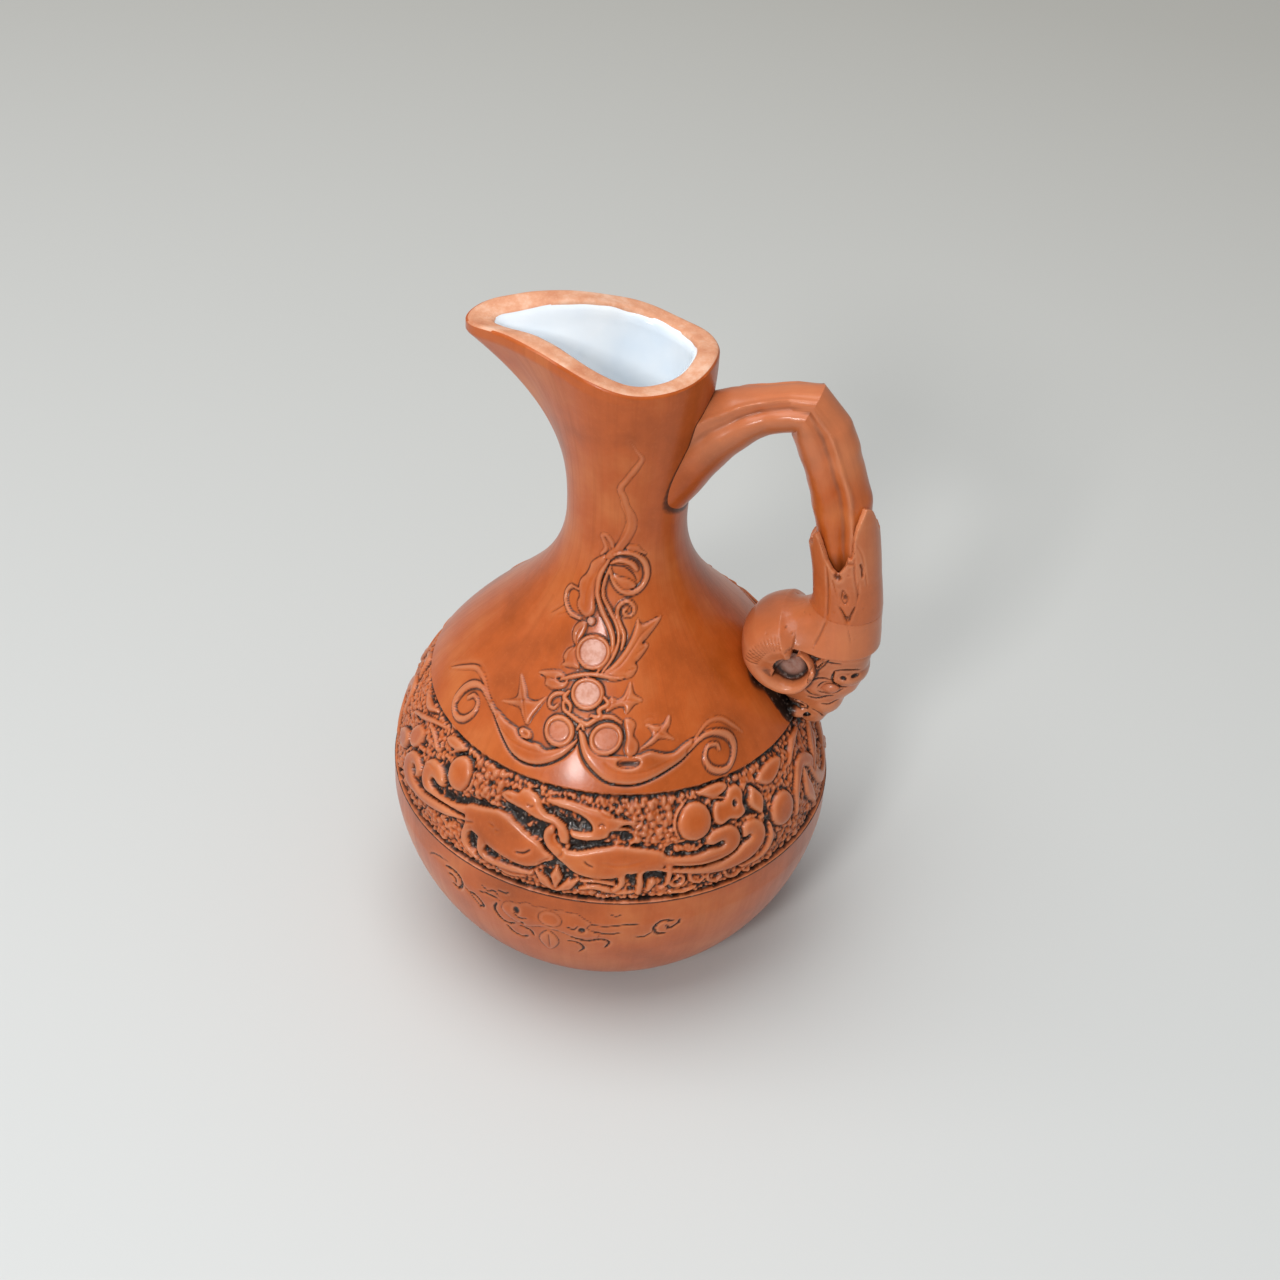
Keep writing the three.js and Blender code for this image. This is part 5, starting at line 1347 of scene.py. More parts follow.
@dataclass
class Handle:
    """Ribbed arm and grip that meet in one sharp corner."""

    arm_radius: float = 7.0
    grip_radius: float = 7.6
    grip_depth: float = 9.0
    root_width: float = 13.0
    root_half_height: float = 17.4
    root_share: float = 0.76
    root_drop: float = 3.0
    root_depth: float = 2.8
    root_reach: float = 34.0
    arm_line: tuple[tuple[float, float], ...] = ((12.0, 178.5), (24.0, 196.0), (50.5, 201.5))
    grip_line: tuple[tuple[float, float], ...] = ((50.5, 201.5), (64.4, 174.85), (69.0, 139.0))
    around: int = 128
    arm_ridge: float = 0.84
    grip_ridge: float = 1.2

    def outward(self, line: Array, k: int) -> Array:
        """Direction square to a line, away from the opening of the handle."""
        step = line[min(k + 1, len(line) - 1)] - line[max(k - 1, 0)]
        return np.array([-step[1], step[0]]) / np.hypot(*step)

    def sections(self) -> list[tuple[Array, Array, float, float, float, float]]:
        """Centre, outward direction, radius across and outward, ridge angle and ridge strength of each section."""
        arm = bend(*self.arm_line, np.linspace(0, 1, 401))
        grip = bend(*self.grip_line, np.linspace(0, 1, 401))
        made = []
        for share in np.linspace(0, 0.93, 60):
            k = int(round(share * 400))
            root = max(0.0, 1 - share / self.root_share)
            tall = self.arm_radius + (self.root_half_height - self.arm_radius) * root ** 1.25
            way = self.outward(arm, k) * (1 - root) + np.array([-0.12, 0.99]) * root
            fuller = (tall - self.arm_radius) * (0.16 + 0.1 * math.sin(math.pi * root))
            centre = arm[k] - np.array([0, self.root_drop * root * root]) - way * fuller
            wide = self.arm_radius + (self.root_width - self.arm_radius) * root ** 0.8
            made.append((centre, way / np.hypot(*way), wide, tall, self.arm_ridge + 0.28 * root, 1 - 0.45 * root))
        before, after = self.outward(arm, 400), self.outward(grip, 0)
        bisector = (before + after) / np.hypot(*(before + after))
        mitre = self.grip_radius / float(bisector @ after)
        made.append((grip[0], bisector, self.grip_radius, mitre * 0.84, (self.arm_ridge + self.grip_ridge) / 2, 1.0))
        for share in np.linspace(0.1, 1, 80):
            k = int(round(share * 400))
            angle = self.grip_ridge + 0.1 * (share - 0.5)
            fuller = (self.grip_depth - self.grip_radius) * ease(share / 0.14) * (1 - ease((share - 0.45) / 0.4))
            way = self.outward(grip, k)
            made.append((grip[k] + way * fuller, way, self.grip_radius, self.grip_radius + fuller, angle, 1.0))
        return made

    def swell(self, off: Array, ridge: float, strength: float) -> Array:
        """How far the section stands out at an angle off its outer side: a flat back, a ridge, a furrow, a band."""
        back = -0.75 * np.exp(-((off / (ridge * 0.62)) ** 2))
        crest = 0.95 * np.exp(-(((off - ridge + 0.03) / 0.11) ** 2))
        furrow = -1.5 * np.exp(-(((off - ridge - 0.3) / 0.19) ** 2))
        band = 0.7 * np.exp(-(((off - ridge - 0.88) / 0.34) ** 2))
        return (back + crest + furrow + band) * strength

    def kept_in_wall(self, points: Array) -> Array:
        """Points of the handle, with the root ended inside the neck's wall, clear of the glaze."""
        form = FORM
        angle, height = np.arctan2(points[:, 1], points[:, 0]), points[:, 2]
        above = np.maximum(height, form.throat_height + 0.01)
        skin = np.where(height > form.throat_height, form.skin(angle, above), form.radius(height))
        reach = np.hypot(points[:, 0], points[:, 1])
        push = np.where(points[:, 0] < self.root_reach, np.maximum(1, (skin - self.root_depth) / reach), 1)
        return points * np.stack([push, push, np.ones_like(push)], -1)

    def build(self) -> bpy.types.Object:
        """Builds the handle and returns it."""
        sections = self.sections()
        turn = np.arange(self.around) * 2 * np.pi / self.around
        off = np.abs(np.arctan2(np.sin(turn), np.cos(turn)))
        grid, recess, worn_and_lit = [], [], []
        for number, (centre, outward, across, tall, ridge, strength) in enumerate(sections):
            hand = 0.16 * math.sin(number * 0.21) + 0.1 * math.sin(number * 0.53 + 1.0)
            ridge += 0.02 * math.sin(number * 0.17 + 2) + 0.01 * math.sin(number * 0.41)
            strength *= 0.9 + 0.08 * math.sin(number * 0.3 + 1) + 0.04 * math.sin(number * 0.83)
            swell = self.swell(off, ridge, strength) + hand * np.cos(2 * turn)
            reach = np.cos(turn) * (tall + swell)
            side = np.sin(turn) * (across + swell)
            grid.append(np.stack([centre[0] + outward[0] * reach, side, centre[1] + outward[1] * reach], -1))
            recess.append(np.exp(-(((off - ridge - 0.27) / 0.13) ** 2)) * strength)
            worn_and_lit.append(np.exp(-(((off - ridge + 0.03) / 0.1) ** 2)) * strength)
        grid = np.array(grid)
        first, last = grid[0].mean(0), grid[-1].mean(0)
        body, index, down = ball_start(self.around, len(sections) + 1)
        inner = np.clip(down - 1, 0, len(sections) - 1)
        coords = grid[inner, index]
        coords[down == 0] = first
        coords[down == len(sections) + 1] = last
        coords = self.kept_in_wall(coords)
        piece = placed("ribbed_handle", coords, body, 34.0)
        height = coords[:, 2]
        # Painted shade on the grip where it goes into the cuff; the furrow's darkening is painted shade with staining
        cuff_shade = ease((164 - height) / 10) * (coords[:, 0] > 40)
        keep(piece, "recess", np.maximum(np.array(recess)[inner, index] * 0.36, cuff_shade * 0.4))
        # Painted light from above: the arm paler toward its top
        top_light = 0.75 * ease((height - 176) / 16) * ease((height - 150) / 9)
        keep(piece, "worn_and_lit", np.maximum(np.array(worn_and_lit)[inner, index], top_light))
        keep(piece, "pale", np.zeros(len(index)))
        keep_wrap(piece, turn[index], 12.0, inner * 1.3)
        return piece


# Head of the handle: crown, cuff, horns and face, held as distances to their skin


def melt(a: Array, b: Array, soft: Array | float) -> Array:
    """Joins two solids, given as distances, with a fillet."""
    h = np.clip(0.5 + 0.5 * (b - a) / soft, 0, 1)
    return b + (a - b) * h - soft * h * (1 - h)


def net(solid: Callable[[Array], Array], low: Sequence[float], high: Sequence[float],
        cell: float) -> tuple[Array, Array]:
    """Closed net of four-sided faces round a solid.

    Args:
        solid: distance of points to the skin, negative inside.
        low: lowest corner of the space searched, in millimetres.
        high: highest corner.
        cell: side of one cell.

    Returns:
        The points of the net, and the four points of each face.
    """
    axes = [np.arange(a, b + cell, cell) for a, b in zip(low, high)]
    inside = solid(np.stack(np.meshgrid(*axes, indexing="ij"), -1)) < 0
    corners = sum(inside[i:i + inside.shape[0] - 1, j:j + inside.shape[1] - 1, k:k + inside.shape[2] - 1].astype(int)
                  for i in (0, 1) for j in (0, 1) for k in (0, 1))
    crossed = (corners > 0) & (corners < 8)
    number = np.full(crossed.shape, -1)
    number[crossed] = np.arange(int(crossed.sum()))
    points = np.array(low) + (np.argwhere(crossed) + 0.5) * cell
    faces = []
    for axis in range(3):
        moved = np.moveaxis(inside, axis, 0)
        change = moved[:-1, 1:-1, 1:-1] != moved[1:, 1:-1, 1:-1]
        i, j, k = np.nonzero(change)
        cells = np.moveaxis(number, axis, 0)
        faces.append(np.stack([cells[i, j, k], cells[i, j + 1, k], cells[i, j + 1, k + 1], cells[i, j, k + 1]], -1))
    return points, np.vstack(faces)


def onto(solid: Callable[[Array], Array], points: Array, rounds: int = 4) -> tuple[Array, Array]:
    """Moves points onto a solid's skin and returns them with the outward directions."""
    step = 0.06
    for _ in range(rounds):
        slope = np.stack([solid(points + move) - solid(points - move) for move in np.eye(3) * step], -1) / (2 * step)
        size = np.maximum(np.linalg.norm(slope, axis=1, keepdims=True), 0.15)
        points = points - np.clip(solid(points)[:, None] / size, -0.6, 0.6) * slope / size
    return points, slope / size


def hollows(body: bpy.types.Object, rounds: int) -> Array:
    """How far each vertex lies under its neighbours, in millimetres, after so many rounds of averaging."""
    mesh = body.data
    co = places(body)
    normal = np.empty(len(mesh.vertices) * 3, np.float32)
    mesh.vertices.foreach_get("normal", normal)
    edges = np.empty(len(mesh.edges) * 2, np.int32)
    mesh.edges.foreach_get("vertices", edges)
    a, b = edges.reshape(-1, 2).T
    count = np.bincount(a, minlength=len(co)) + np.bincount(b, minlength=len(co))
    even = co
    for _ in range(rounds):
        total = np.stack([np.bincount(a, even[b, k], len(co)) + np.bincount(b, even[a, k], len(co))
                          for k in range(3)], -1)
        even = total / np.maximum(count, 1)[:, None]
    return ((even - co) * normal.reshape(-1, 3)).sum(1) / METRE


@dataclass
class RamForm:
    """Sizes and form of the head under the handle, seen from the side in x and z."""

    centre: tuple[float, float] = (56.0, 118.2)
    hole: float = 5.0
    dish: float = 10.6
    horn_face: float = 13.7
    brow_height: float = 124.6
    horn_line: tuple[tuple[float, float], ...] = (
        (106, 12.6), (126, 14.4), (144, 16.2), (162, 16.9), (185, 16.3), (210, 14.3), (240, 12.4), (283, 11.1),
        (318, 8.8), (367, 7.8), (415, 7.3), (430, 7.0))
    face_line: tuple[tuple[float, float, float, float], ...] = (
        (91.0, 61.0, 65.0, 2.0), (93.0, 59.6, 67.2, 4.0), (96.0, 57.6, 68.6, 5.2), (100.6, 54.6, 70.6, 6.2),
        (105.1, 52.0, 73.7, 7.3), (108.1, 51.0, 76.0, 8.0), (113.6, 50.0, 77.8, 8.9), (118.4, 50.0, 78.3, 9.6),
        (122.0, 50.0, 78.8, 9.9), (126.0, 50.0, 79.0, 9.9))
    leaf_edge: tuple[tuple[float, float], ...] = (
        (0, 169.5), (14, 173.6), (30, 175.0), (44, 172.0), (53, 169.6), (60, 166.5), (64, 162.0), (68, 160.0),
        (74, 160.0), (80, 157.2), (94, 154.0), (104, 155.4), (112, 158.2), (119, 164.2), (124, 166.4), (130, 165.6),
        (137, 162.0), (146, 160.0), (180, 158.0))
    cuff_line: tuple[tuple[float, float], ...] = (
        (118, 11.4), (124, 11.6), (128, 11.4), (134, 10.8), (139, 10.5), (150, 10.3), (160, 10.7), (170, 11.1))

    def grip(self, height: Array) -> Array:
        """Place of the grip's middle line along the handle's axis at a height."""
        line = bend((50.5, 201.5), (64.4, 174.85), (69.0, 139.0), np.linspace(0, 1, 200))
        return np.interp(height, line[::-1, 1], line[::-1, 0])

    def turned(self, p: Array) -> tuple[Array, Array]:
        """Distance from the grip's middle line, and the turn away from the outer side in degrees."""
        x = p[..., 0] - self.grip(p[..., 2])
        return np.hypot(x, p[..., 1]), np.degrees(np.arctan2(np.abs(p[..., 1]), x))

    def cap(self, p: Array) -> Array:
        """Distance to the crown and the cuff, one smooth cap over the face."""
        x, z = p[..., 0], p[..., 2]
        crown = self.ball(p, (58.6, 0.0, 119.6), (17.2, 13.4, 14.6))
        reach, turn = self.turned(p)
        outer = reach - np.interp(z, *zip(*self.cuff_line))
        tall = np.maximum(outer, 118 - z)
        whole = melt(crown, tall, 6.0)
        under = self.brow_height + 0.9 * ease((66 - x) / 8) - z
        under = np.where(x > 56, under, under - (56 - x) * 2.0)
        whole = -melt(-whole, -under, 0.5)
        edge = np.interp(turn, *zip(*self.leaf_edge))
        edge = edge - 9.5 * ease((p[..., 1] + 3.5) / 8) * ease((edge - 159) / 9)
        above = (z - edge) * 0.6
        bore = np.maximum(outer + 1.7, 140 - z)
        whole = np.maximum(whole, -bore)
        return -melt(-whole, -above, 0.35)

    def ball(self, p: Array, middle: Sequence[float], radii: Sequence[float]) -> Array:
        """Distance to an egg whose twin lies on the other side."""
        q = np.stack([p[..., 0], np.abs(p[..., 1]), p[..., 2]], -1) - np.array(middle)
        near = np.sqrt(((q / np.array(radii)) ** 2).sum(-1))
        steep = np.sqrt(((q / np.array(radii) ** 2) ** 2).sum(-1))
        return near * (near - 1) / np.maximum(steep, 1e-3)

    def face(self, p: Array) -> Array:
        """Distance to the face under the brow, with nose, cheek, muzzle and lips."""
        x, y, z = p[..., 0], np.abs(p[..., 1]), p[..., 2]
        heights, back, front, wide = np.array(self.face_line).T
        left, right = np.interp(z, heights, back), np.interp(z, heights, front)
        half = (right - left) / 2
        width = np.interp(z, heights, wide)
        across = (np.abs(x - (left + right) / 2) / half) ** 2.6 + (y / width) ** 2.6
        block = (across ** (1 / 2.6) - 1) * np.minimum(width, half) * 0.9
        block = np.maximum(block, np.maximum(91.5 - z, z - 126))
        whole = block
        for middle, radii, soft in (
            ((72.6, 0.0, 115.0), (5.9, 9.2, 4.0), 0.8),
            ((64.4, 6.6, 109.6), (2.9, 2.4, 2.9), 0.8),
            ((66.6, 5.2, 114.2), (4.6, 3.6, 1.5), 1.0),
            ((66.8, 0.0, 101.6), (5.4, 6.8, 5.0), 1.5),
            ((58.6, 3.8, 96.4), (4.4, 3.0, 2.3), 0.6),
        ):
            whole = melt(whole, self.ball(p, middle, radii), soft)
        whole = -melt(-whole, self.ball(p, (68.4, 9.3, 110.8), (3.9, 1.9, 2.6)), 0.6)
        whole = -melt(-whole, self.ball(p, (58.2, 7.2, 99.6), (3.8, 3.0, 1.3)), 0.5)
        return -melt(-whole, self.ball(p, (62.3, 6.8, 96.2), (1.2, 2.4, 1.2)), 0.3)

    def polar(self, p: Array) -> tuple[Array, Array]:
        """Distance from the horn's middle, and the angle round it in degrees from 70 to 430."""
        x, z = p[..., 0] - self.centre[0], p[..., 2] - self.centre[1]
        angle = (np.degrees(np.arctan2(z, x)) - 70) % 360 + 70
        return np.hypot(x, z), angle

    def horn(self, p: Array) -> Array:
        """Distance to the horns, two domed bands that run through the head."""
        far, angle = self.polar(p)
        outer = np.interp(angle, *zip(*self.horn_line))
        fade = np.clip((angle - 88) / 24, 0, 1)
        outer = self.hole + (outer - self.hole) * fade
        half = (outer - self.hole) / 2
        inner = self.hole * 0.96
        across = np.abs(far - (outer + inner) / 2) / np.maximum((outer - inner) / 2, 0.4)
        face = self.horn_face * np.interp(angle, (80, 112, 330, 430), (0.78, 1.0, 1.0, 0.9))
        domed = (across ** 2.3 + (np.abs(p[..., 1]) / face) ** 2.3) ** (1 / 2.3) - 1
        return domed * np.clip(half, 0.6, 4.0)

    def solid(self, p: Array) -> Array:
        """Distance to the whole head with its cuff."""
        far, angle = self.polar(p)
        soft = np.interp(angle, (86, 104, 160, 196, 240), (0.6, 6.5, 6.0, 3.0, 0.5))
        soft = np.maximum(soft, 7 * ease((far - 6.6) / 2.4) * ease((angle - 72) / 9) * ease((130 - angle) / 20))
        core = np.minimum(self.cap(p), self.face(p))
        skull = self.ball(p, (57.5, 0.0, 112.8), (16.4, 9.6, 12.6))
        core = melt(core, skull, 1.2)
        whole = melt(core, self.horn(p), soft)
        floor = self.dish + 0.012 * far ** 2
        dish = np.maximum(far - self.hole, floor - np.abs(p[..., 1]))
        return -melt(-whole, dish, 0.35)


@dataclass
class RamCarving:
    """Strokes, pits and slits of the head's side, drawn in x and z, and of the cuff, drawn in turn and z."""

    form: RamForm = field(default_factory=RamForm)
    side: Board = field(init=False)
    cuff: Board = field(init=False)

    def carve(self) -> None:
        """Carves both boards."""
        self.carve_side()
        self.carve_cuff()

    def radial(self, angle: float, near: float, far: float) -> Points:
        """Two ends of a stroke that points away from the horn's middle."""
        c, s = math.cos(math.radians(angle)), math.sin(math.radians(angle))
        x, z = self.form.centre
        return [(x + near * c, z + near * s), (x + far * c, z + far * s)]

    def carve_side(self) -> None:
        """Carves the flutes of the horn, the ear, the brow, the nose and the mouth."""
        self.side = Board(36.0, 84.0, 88.0, 142.0, pitch=0.12)
        board = self.side
        # Flutes of the horn, 1.3 mm apart, and hair strokes at the rim of its hole
        for k in range(13):
            angle = 113 + 5.4 * k
            board.cut(self.radial(angle, 8.4 + 0.08 * k, 12.2 + 0.15 * k), 0.85, 0.42 * (1 - 0.045 * k))
        # Groove under the brow, from the horn's tip to the front
        board.cut([(58.6, 124.6), (61.6, 122.6), (66, 121.6), (71, 121.4)], 0.8, 0.5)
        # Ear: a small lozenge with a slit
        board.shape([(62.0, 115.4), (63.6, 117.2), (65.8, 120.6), (66.6, 123.2), (64.4, 122.2), (62.4, 119.4)],
                    Relief(top=0.9, edge=0.2, bevel=0.9, moat=0.6, trench=0.5))
        board.cut([(62.6, 116.2), (64.0, 118.8), (65.9, 122.2)], 0.8, 1.3)
        # Eyelids and the corner of the eye
        board.cut([(64.6, 110.6), (66.4, 112.9), (69.2, 113.3), (71.8, 111.6)], 0.55, 0.6)
        board.cut([(64.8, 109.4), (67.2, 108.3), (70.0, 108.8), (72.4, 110.8)], 0.55, 0.6)
        board.cut([(62.2, 112.9), (65.6, 114.6), (69.2, 114.4)], 0.7, 0.5)
        board.cut([(61.4, 108.6), (63.0, 106.9), (65.6, 106.6)], 0.7, 0.6)
        # Nose block: its outline and two pits
        board.cut([(69.2, 118.6), (68.7, 115.2), (69.9, 111.9), (73.3, 111.5)], 0.8, 0.7)
        board.cut([(69.2, 118.6), (72.6, 119.2), (76.4, 118.7)], 0.7, 0.5)
        board.pit(72.0, 115.9, 1.1, 0.8, 0.8)
        board.pit(75.2, 116.7, 1.2, 0.7, 0.7)
        board.cut([(72.6, 113.6), (74.4, 113.2), (76.6, 114.0)], 0.6, 0.45)
        # Cheek folds, mouth and lips
        board.cut([(61.8, 105.4), (64.6, 104.9), (67.6, 106.6), (69.8, 107.4)], 0.9, 0.8)
        board.cut([(66.2, 103.0), (68.8, 103.2), (71.4, 104.9)], 0.6, 0.4)
        board.cut([(55.2, 100.6), (58.4, 101.5), (61.4, 100.7), (62.2, 99.2), (60.6, 98.6)], 0.9, 1.0)
        board.cut([(55.6, 98.2), (58.2, 98.9), (60.6, 98.4)], 0.7, 0.6)
        board.pit(62.3, 96.2, 1.1, 1.0, 1.0)
        board.cut([(63.6, 99.6), (66.0, 98.2), (67.4, 95.6)], 0.6, 0.5)
        # Scratches and pits left by the maker's tool
        random = np.random.default_rng(41)
        for _ in range(26):
            x, z = random.uniform(44, 76), random.uniform(122, 137)
            board.pit(x, z, random.uniform(0.25, 0.6), random.uniform(0.2, 0.4), random.uniform(0.15, 0.4))
        for x, z, dx, dz in ((70.4, 134.6, 2.6, -0.8), (73.2, 131.6, 0.8, -1.6), (66.4, 133.8, 1.6, 1.0),
                             (68.8, 129.4, 2.4, -0.4), (74.8, 128.4, 1.2, 0.8)):
            board.cut([(x, z), (x + dx / 2, z + dz / 2 + 0.3), (x + dx, z + dz)], 0.35, 0.3)
        board.finish(soften=0.12, wrap=False)

    def carve_cuff(self) -> None:
        """Carves the veins and hollows of the leaves; across is the turn in degrees over 5.6."""
        self.cuff = Board(0.0, 33.0, 118.0, 178.0, pitch=0.12)
        board = self.cuff
        lay = 1 / 5.6
        for points, width, depth in (
            ([(87, 149.4), (80, 146.4), (84.5, 144.4), (90, 146.2), (87, 149.4)], 0.7, 0.6),
            ([(95, 143.2), (88, 141.0), (80, 138.0), (75, 140.6), (67, 143.8)], 0.9, 0.8),
            ([(80, 138.0), (76, 134.6), (70, 130.6)], 0.5, 0.35),
            ([(67, 143.8), (62, 148.0), (60.5, 152.0)], 0.5, 0.3),
            ([(55, 158.4), (52, 156.4), (52.5, 153.4)], 1.1, 0.8),
            ([(112, 156.0), (114, 146.0), (118, 134.0), (121, 126.0)], 1.2, 0.35),
            ([(64, 161.0), (66, 154.0), (62, 146.0)], 0.8, 0.3),
            ([(104, 152.0), (100, 147.6), (97, 145.4)], 0.5, 0.3),
            ([(58, 165.0), (50, 160.0), (46, 150.0)], 0.6, 0.25),
        ):
            board.cut([(turn * lay, z) for turn, z in points], width, depth)
        board.pit(84.5 * lay, 146.6, 0.6, 1.0, 0.8)
        board.pit(95 * lay, 153.2, 1.3, 1.3, 1.1)
        board.pit(82 * lay, 139.6, 0.8, 0.6, 0.8)
        board.pit(72 * lay, 158.6, 1.2, 0.7, 0.35)
        random = np.random.default_rng(17)
        for _ in range(18):
            board.pit(random.uniform(40, 120) * lay, random.uniform(126, 162), random.uniform(0.2, 0.4),
                      random.uniform(0.2, 0.35), random.uniform(0.15, 0.35))
        board.finish(soften=0.12, wrap=False)


@dataclass
class RamHead:
    """Head with its horns and its leaf cuff, made of the form and the carving."""

    cell: float = 0.42
    parting: float = 137.0
    carving: RamCarving = field(default_factory=RamCarving)

    def piece(self, name: str, lower: bool) -> bpy.types.Object:
        """Builds the head, or the cuff above the parting plane.

        Args:
            name: name of the piece.
            lower: whether the head is built and not the cuff.

        Returns:
            The piece as one closed skin.
        """
        form = self.carving.form

        def solid(p: Array) -> Array:
            cutoff = p[..., 2] - self.parting if lower else self.parting - p[..., 2]
            return np.maximum(form.solid(p), cutoff)

        low, high = ((36, -16, 89), (83, 16, 139)) if lower else ((53, -13.5, 135), (83, 13.5, 177))
        points, faces = net(solid, low, high, self.cell)
        points, _ = onto(solid, points)
        _, outward = onto(form.solid, points, 1)
        on_skin = np.abs(form.solid(points)) < 0.1
        points, lift = self.carved(points, outward, on_skin)
        mesh = bpy.data.meshes.new(name)
        mesh.from_pydata(points * METRE, [], faces.tolist())
        body = bpy.data.objects.new(name, mesh)
        bpy.context.scene.collection.objects.link(body)
        deselect()
        bpy.context.view_layer.objects.active = body
        body.select_set(True)
        piece = placed(name, points, body, 55.0)
        self.dress(piece, points, lift, lower)
        return piece

    def carved(self, points: Array, outward: Array, on_skin: Array) -> tuple[Array, Array]:
        """Points moved by the carving, and the depth of the carving at each."""
        form, side, cuff = self.carving.form, self.carving.side, self.carving.cuff
        reach, turn = form.turned(points)
        share = ease((points[:, 2] - 126.5) / 3) * ease((points[:, 0] - 58) / 3)
        flank = side.sample(side.height, points[:, 0], points[:, 2]) * ease((np.abs(outward[:, 1]) - 0.1) / 0.4)
        outer = (reach > np.interp(points[:, 2], *zip(*form.cuff_line)) - 1.0)
        collar = cuff.sample(cuff.height, turn / 5.6, points[:, 2]) * outer
        far, _ = form.polar(points)
        flank = np.where((far < form.hole + 0.2) & (np.abs(points[:, 1]) < form.horn_face - 1.2), 0, flank)
        lift = (flank * (1 - share) + collar * share) * on_skin
        return points + outward * lift[:, None], lift

    def dress(self, piece: bpy.types.Object, points: Array, lift: Array, lower: bool) -> None:
        """Keeps the darkening of the recesses, painted shade with staining, with the painted shade under the head and
        in the horn's hole, the edges rubbed paler, and the paler middle of the hole.
        """
        form = self.carving.form
        fine, wide = hollows(piece, 3), hollows(piece, 24)
        far, _ = form.polar(points)
        in_dish = (far < form.hole + 0.1) & (np.abs(points[:, 1]) < form.horn_face - 0.8)
        # Hollows and carved cuts darker: painted shade with staining
        stain_and_shade = np.clip(fine / 0.05, 0, 1) * 0.5 + np.clip(wide / 0.35, 0, 1) * 0.6 + np.clip(-lift / 0.7, 0, 1) * 0.6
        # Painted shade under the head, where it meets the belly
        deep = ease((points[:, 1] ** 2 < 81) * (104 - points[:, 2]) / 6) * ease((60 - points[:, 0]) / 3)
        seam = ease((np.abs(points[:, 2] - self.parting) - 0.5) / 1.2)
        # Weaker at the parting, stronger on the face below the brow
        stain_and_shade = np.maximum(stain_and_shade * seam * (0.3 + 0.36 * ease((125 - points[:, 2]) / 3)), deep)
        # Painted shadow in the horn's hole, darkest toward its rim; the cloud below makes it paler toward its middle
        stain_and_shade = np.where(in_dish, np.maximum(stain_and_shade, 0.62 + 0.3 * ease((far - 3.4) / 1.4)), stain_and_shade)
        cloud = np.where(in_dish, 0.6 * ease((4.6 - far) / 2), 0)
        keep(piece, "recess", stain_and_shade)
        crown = 1 - 0.85 * ease((points[:, 2] - 122) / 3) * ease((151 - points[:, 2]) / 4)
        edge = np.clip(-fine / 0.05, 0, 1) * 0.6 + np.clip(-wide / 0.5, 0, 1) * 0.4
        # The head is made paler all over than the cuff
        base = 0.6 if lower else 0.3
        keep(piece, "worn_and_lit", base + edge * crown * seam)
        keep(piece, "pale", cloud)
        keep_wrap(piece, np.arctan2(points[:, 1], points[:, 0] - 60), 14.0, points[:, 2])


@dataclass
class Eye:
    """Almond eye of the ram."""

    name: str
    side: int

    def build(self) -> bpy.types.Object:
        """Builds the eye and returns it."""
        body, index, down = ball_start(32, 18)
        turn = index * 2 * np.pi / 32
        tilt = down * np.pi / 18
        x = np.sin(tilt) * np.cos(turn) * 3.0
        z = np.sin(tilt) * np.sin(turn) * 1.75 * (1 - 0.3 * (x / 3.0) ** 2)
        y = np.cos(tilt) * 1.5
        coords = np.stack([68.5 + x * 0.95 - z * 0.3, self.side * (7.9 + y), 110.8 + z + x * 0.22], -1)
        piece = placed(self.name, coords, body, 60.0)
        # Painted shade where the eye sinks into the head, and a faint share of the painted pale reflection
        keep(piece, "recess", np.clip(0.7 - y, 0, 1))
        keep(piece, "worn_and_lit", np.full(len(index), 0.5))
        keep(piece, "pale", np.full(len(index), 0.12))
        keep_wrap(piece, turn, 4.0, coords[:, 2])
        return piece


# Turned body


